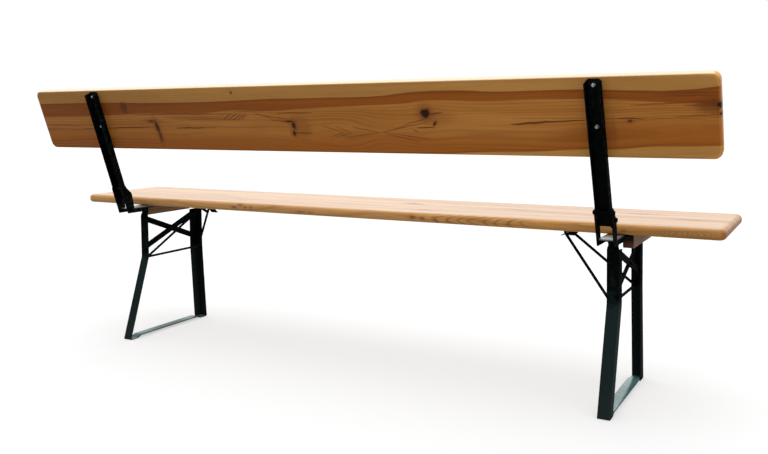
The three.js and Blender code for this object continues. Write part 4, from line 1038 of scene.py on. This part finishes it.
def rodPiece(node, end, side):
    # the loop runs through four corners, its two bends as curves: p = (1-t)^2 a + 2t(1-t) corner + t^2 b
    look = rodLook
    middle, half = middleAndHalf(node)
    axle = jointAt["rod_turn_" + end]
    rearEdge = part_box("seat_board")[1][1]
    wide = [np.array([axle.x, rearEdge + y, axle.z]) for y in look["wide"]]
    topX, topZ = axle.x - side * look["reach"], axle.z + look["rise"]
    narrow = [np.array([topX, rearEdge + y, topZ]) for y in look["narrow"]]
    corners = [wide[0], *narrow, wide[1]]
    t = np.linspace(0, 1, 9)[:, None]
    path = [np.linspace(0, 1, 5)[:-1, None] * 0.9 * (narrow[0] - wide[0]) + wide[0]]
    for before, here, after in (corners[:3], corners[1:]):
        steps = (before - here, after - here)
        a, b = (here + look["bend"] * step / np.linalg.norm(step) for step in steps)
        path.append((1 - t) ** 2 * a + 2 * t * (1 - t) * here + t ** 2 * b)
    path.append(np.linspace(0.1, 1, 5)[:, None] * (wide[1] - narrow[1]) + narrow[1])
    axis = (axle.x, middle[1], axle.z)
    bar = easedRod(look["radius"], 0.001 - half[1], half[1] - 0.001, 0.0004)
    head = easedRod(look["head"], half[1] - look["headThickness"], half[1], 0.0005)
    parts = [sweep(np.concatenate(path), look["radius"]), placed(lathe(bar, 24), (0, 1, 0), axis)]
    return joinedParts(node, parts + [placed(lathe(head), (0, s, 0), axis) for s in (-1, 1)])


screws = ("plate_screw_{}_1", "plate_screw_{}_2", "catch_screw_{}_1", "catch_screw_{}_2", "hinge_screw_{}")

for end, side in ends.items():
    for name in screws:
        name = name.format(end)
        fit(screwPiece(name), "seat", zinc, name)
    for place in ("low_rear", "low_front", "high_rear", "high_front", "cross"):
        name = f"brace_rivet_{place}_{end}"
        fit(rivetPiece(name), "leg_" + end, paint, name)
    for name, radius, spacer in (("pivot_bolt_", 0.004, 0), ("stop_bolt_", 0.003, 0.005)):
        fit(boltPiece(name + end, radius, spacer), "seat", paint, name + end)
    for name in ("hinge_pin_rear_" + end, "hinge_pin_front_" + end):
        fit(pinPiece(name), "seat", paint, name)
    for name in (f"strut_bolt_{end}_1", f"strut_bolt_{end}_2"):
        fit(backBoltPiece(name), "backrest", boltZinc, name)
    fit(rodPiece("lock_rod_" + end, end, side), "rod_" + end, paint, "lock_rod_" + end)
print("folding bench: rods and fasteners")

# Floor, light and camera

studio = {
    "floorSize": 30,
    "floorSeen": 0.36,  # shade of the floor as seen, and the glow that keeps its shadows soft
    "floorGlow": 0.52,
    "floorBounce": 0.32,  # shade that lights the bench from below
    "backdrop": (1.0, 1.0, 1.0, 1.0),
    "surround": 0.52,  # faint light from all round
    "overhead": 1.75,  # broad soft light from above
    "overheadEdge": (0.45, 0.95),
    "beyond": 1.4,  # low light from behind the bench, as seen from the camera
    "towards": (0.479, -0.878, 0.15),
}


def buildFloor():
    look, size = studio, studio["floorSize"]
    corners = [(-size, -size, 0), (size, -size, 0), (size, size, 0), (-size, size, 0)]
    floor = meshObject("floor", corners, [[0, 1, 2, 3]], 40)
    material, tree, shader = newMaterial("pale floor")
    seen = add(tree, "LightPath", {}, "Is Camera Ray")
    shade = look["floorBounce"] + seen * (look["floorSeen"] - look["floorBounce"])
    plug(tree, shader, {
        "Base Color": grey(tree, shade), "Emission Color": grey(tree, seen * look["floorGlow"]),
        "Emission Strength": 1.0, "Roughness": 0.9, "Specular IOR Level": 0.0})
    floor.data.materials.append(material)


def buildLight():
    look = studio
    world = bpy.data.worlds.new("soft studio")
    bpy.context.scene.world = world
    world.use_nodes = True
    tree = world.node_tree
    tree.nodes.clear()
    direction = add(tree, "TexCoord", {}, "Generated")
    above = band(split(direction)[2], *look["overheadEdge"])
    facing = add(tree, "VectorMath", {0: direction, 1: look["towards"]}, "Value", operation="DOT_PRODUCT")
    beyond = facing.then("MAXIMUM", 0.0).then("POWER", 2.0)
    light = look["surround"] + above * look["overhead"] + beyond * look["beyond"]
    seen = add(tree, "LightPath", {}, "Is Camera Ray")
    background = add(tree, "Background", {"Color": look["backdrop"], "Strength": light * (1 - seen) + seen})
    plug(tree, tree.nodes.new("ShaderNodeOutputWorld"), {0: background})


photoCamera = {
    "place": (-1.3514, 2.03158, 0.778),  # y from the backrest pivots
    "heading": 0.4995,  # radians, turned from -Y towards +X
    "down": 0.0532,
    "roll": -0.0096,
    "focal": 837.02,  # pixels of a frame 768 wide and 454 high
    "centre": (395.17, 154.84),
    "frame": (768, 454),
    "sensor": 36,
}


def buildCamera():
    view = photoCamera
    yaw, down, roll = view["heading"], view["down"], view["roll"]
    ahead = Vector((math.sin(yaw), -math.cos(yaw), 0))
    side = Vector((-math.cos(yaw), -math.sin(yaw), 0))
    upward = Vector((0, 0, 1))
    look = ahead * math.cos(down) - upward * math.sin(down)
    raisedUp = upward * math.cos(down) + ahead * math.sin(down)
    right = side * math.cos(roll) + raisedUp * math.sin(roll)
    up = raisedUp * math.cos(roll) - side * math.sin(roll)
    data = bpy.data.cameras.new("photo camera")
    camera = bpy.data.objects.new("photo camera", data)
    bpy.context.scene.collection.objects.link(camera)
    place = Vector(view["place"]) + Vector((0, jointAt["backrest_fold"].y, 0))
    camera.matrix_world = Matrix.Translation(place) @ Matrix((right, up, -look)).transposed().to_4x4()
    width, height = view["frame"]
    data.sensor_width = view["sensor"]
    data.lens = view["focal"] / width * data.sensor_width
    data.shift_x = (width / 2 - view["centre"][0]) / width
    data.shift_y = (view["centre"][1] - height / 2) / width
    data.clip_start, data.clip_end = 0.05, 100
    bpy.context.scene.camera = camera


buildFloor()
buildLight()
buildCamera()
bpy.context.scene.view_settings.view_transform = "Standard"
print("folding bench: studio and camera")
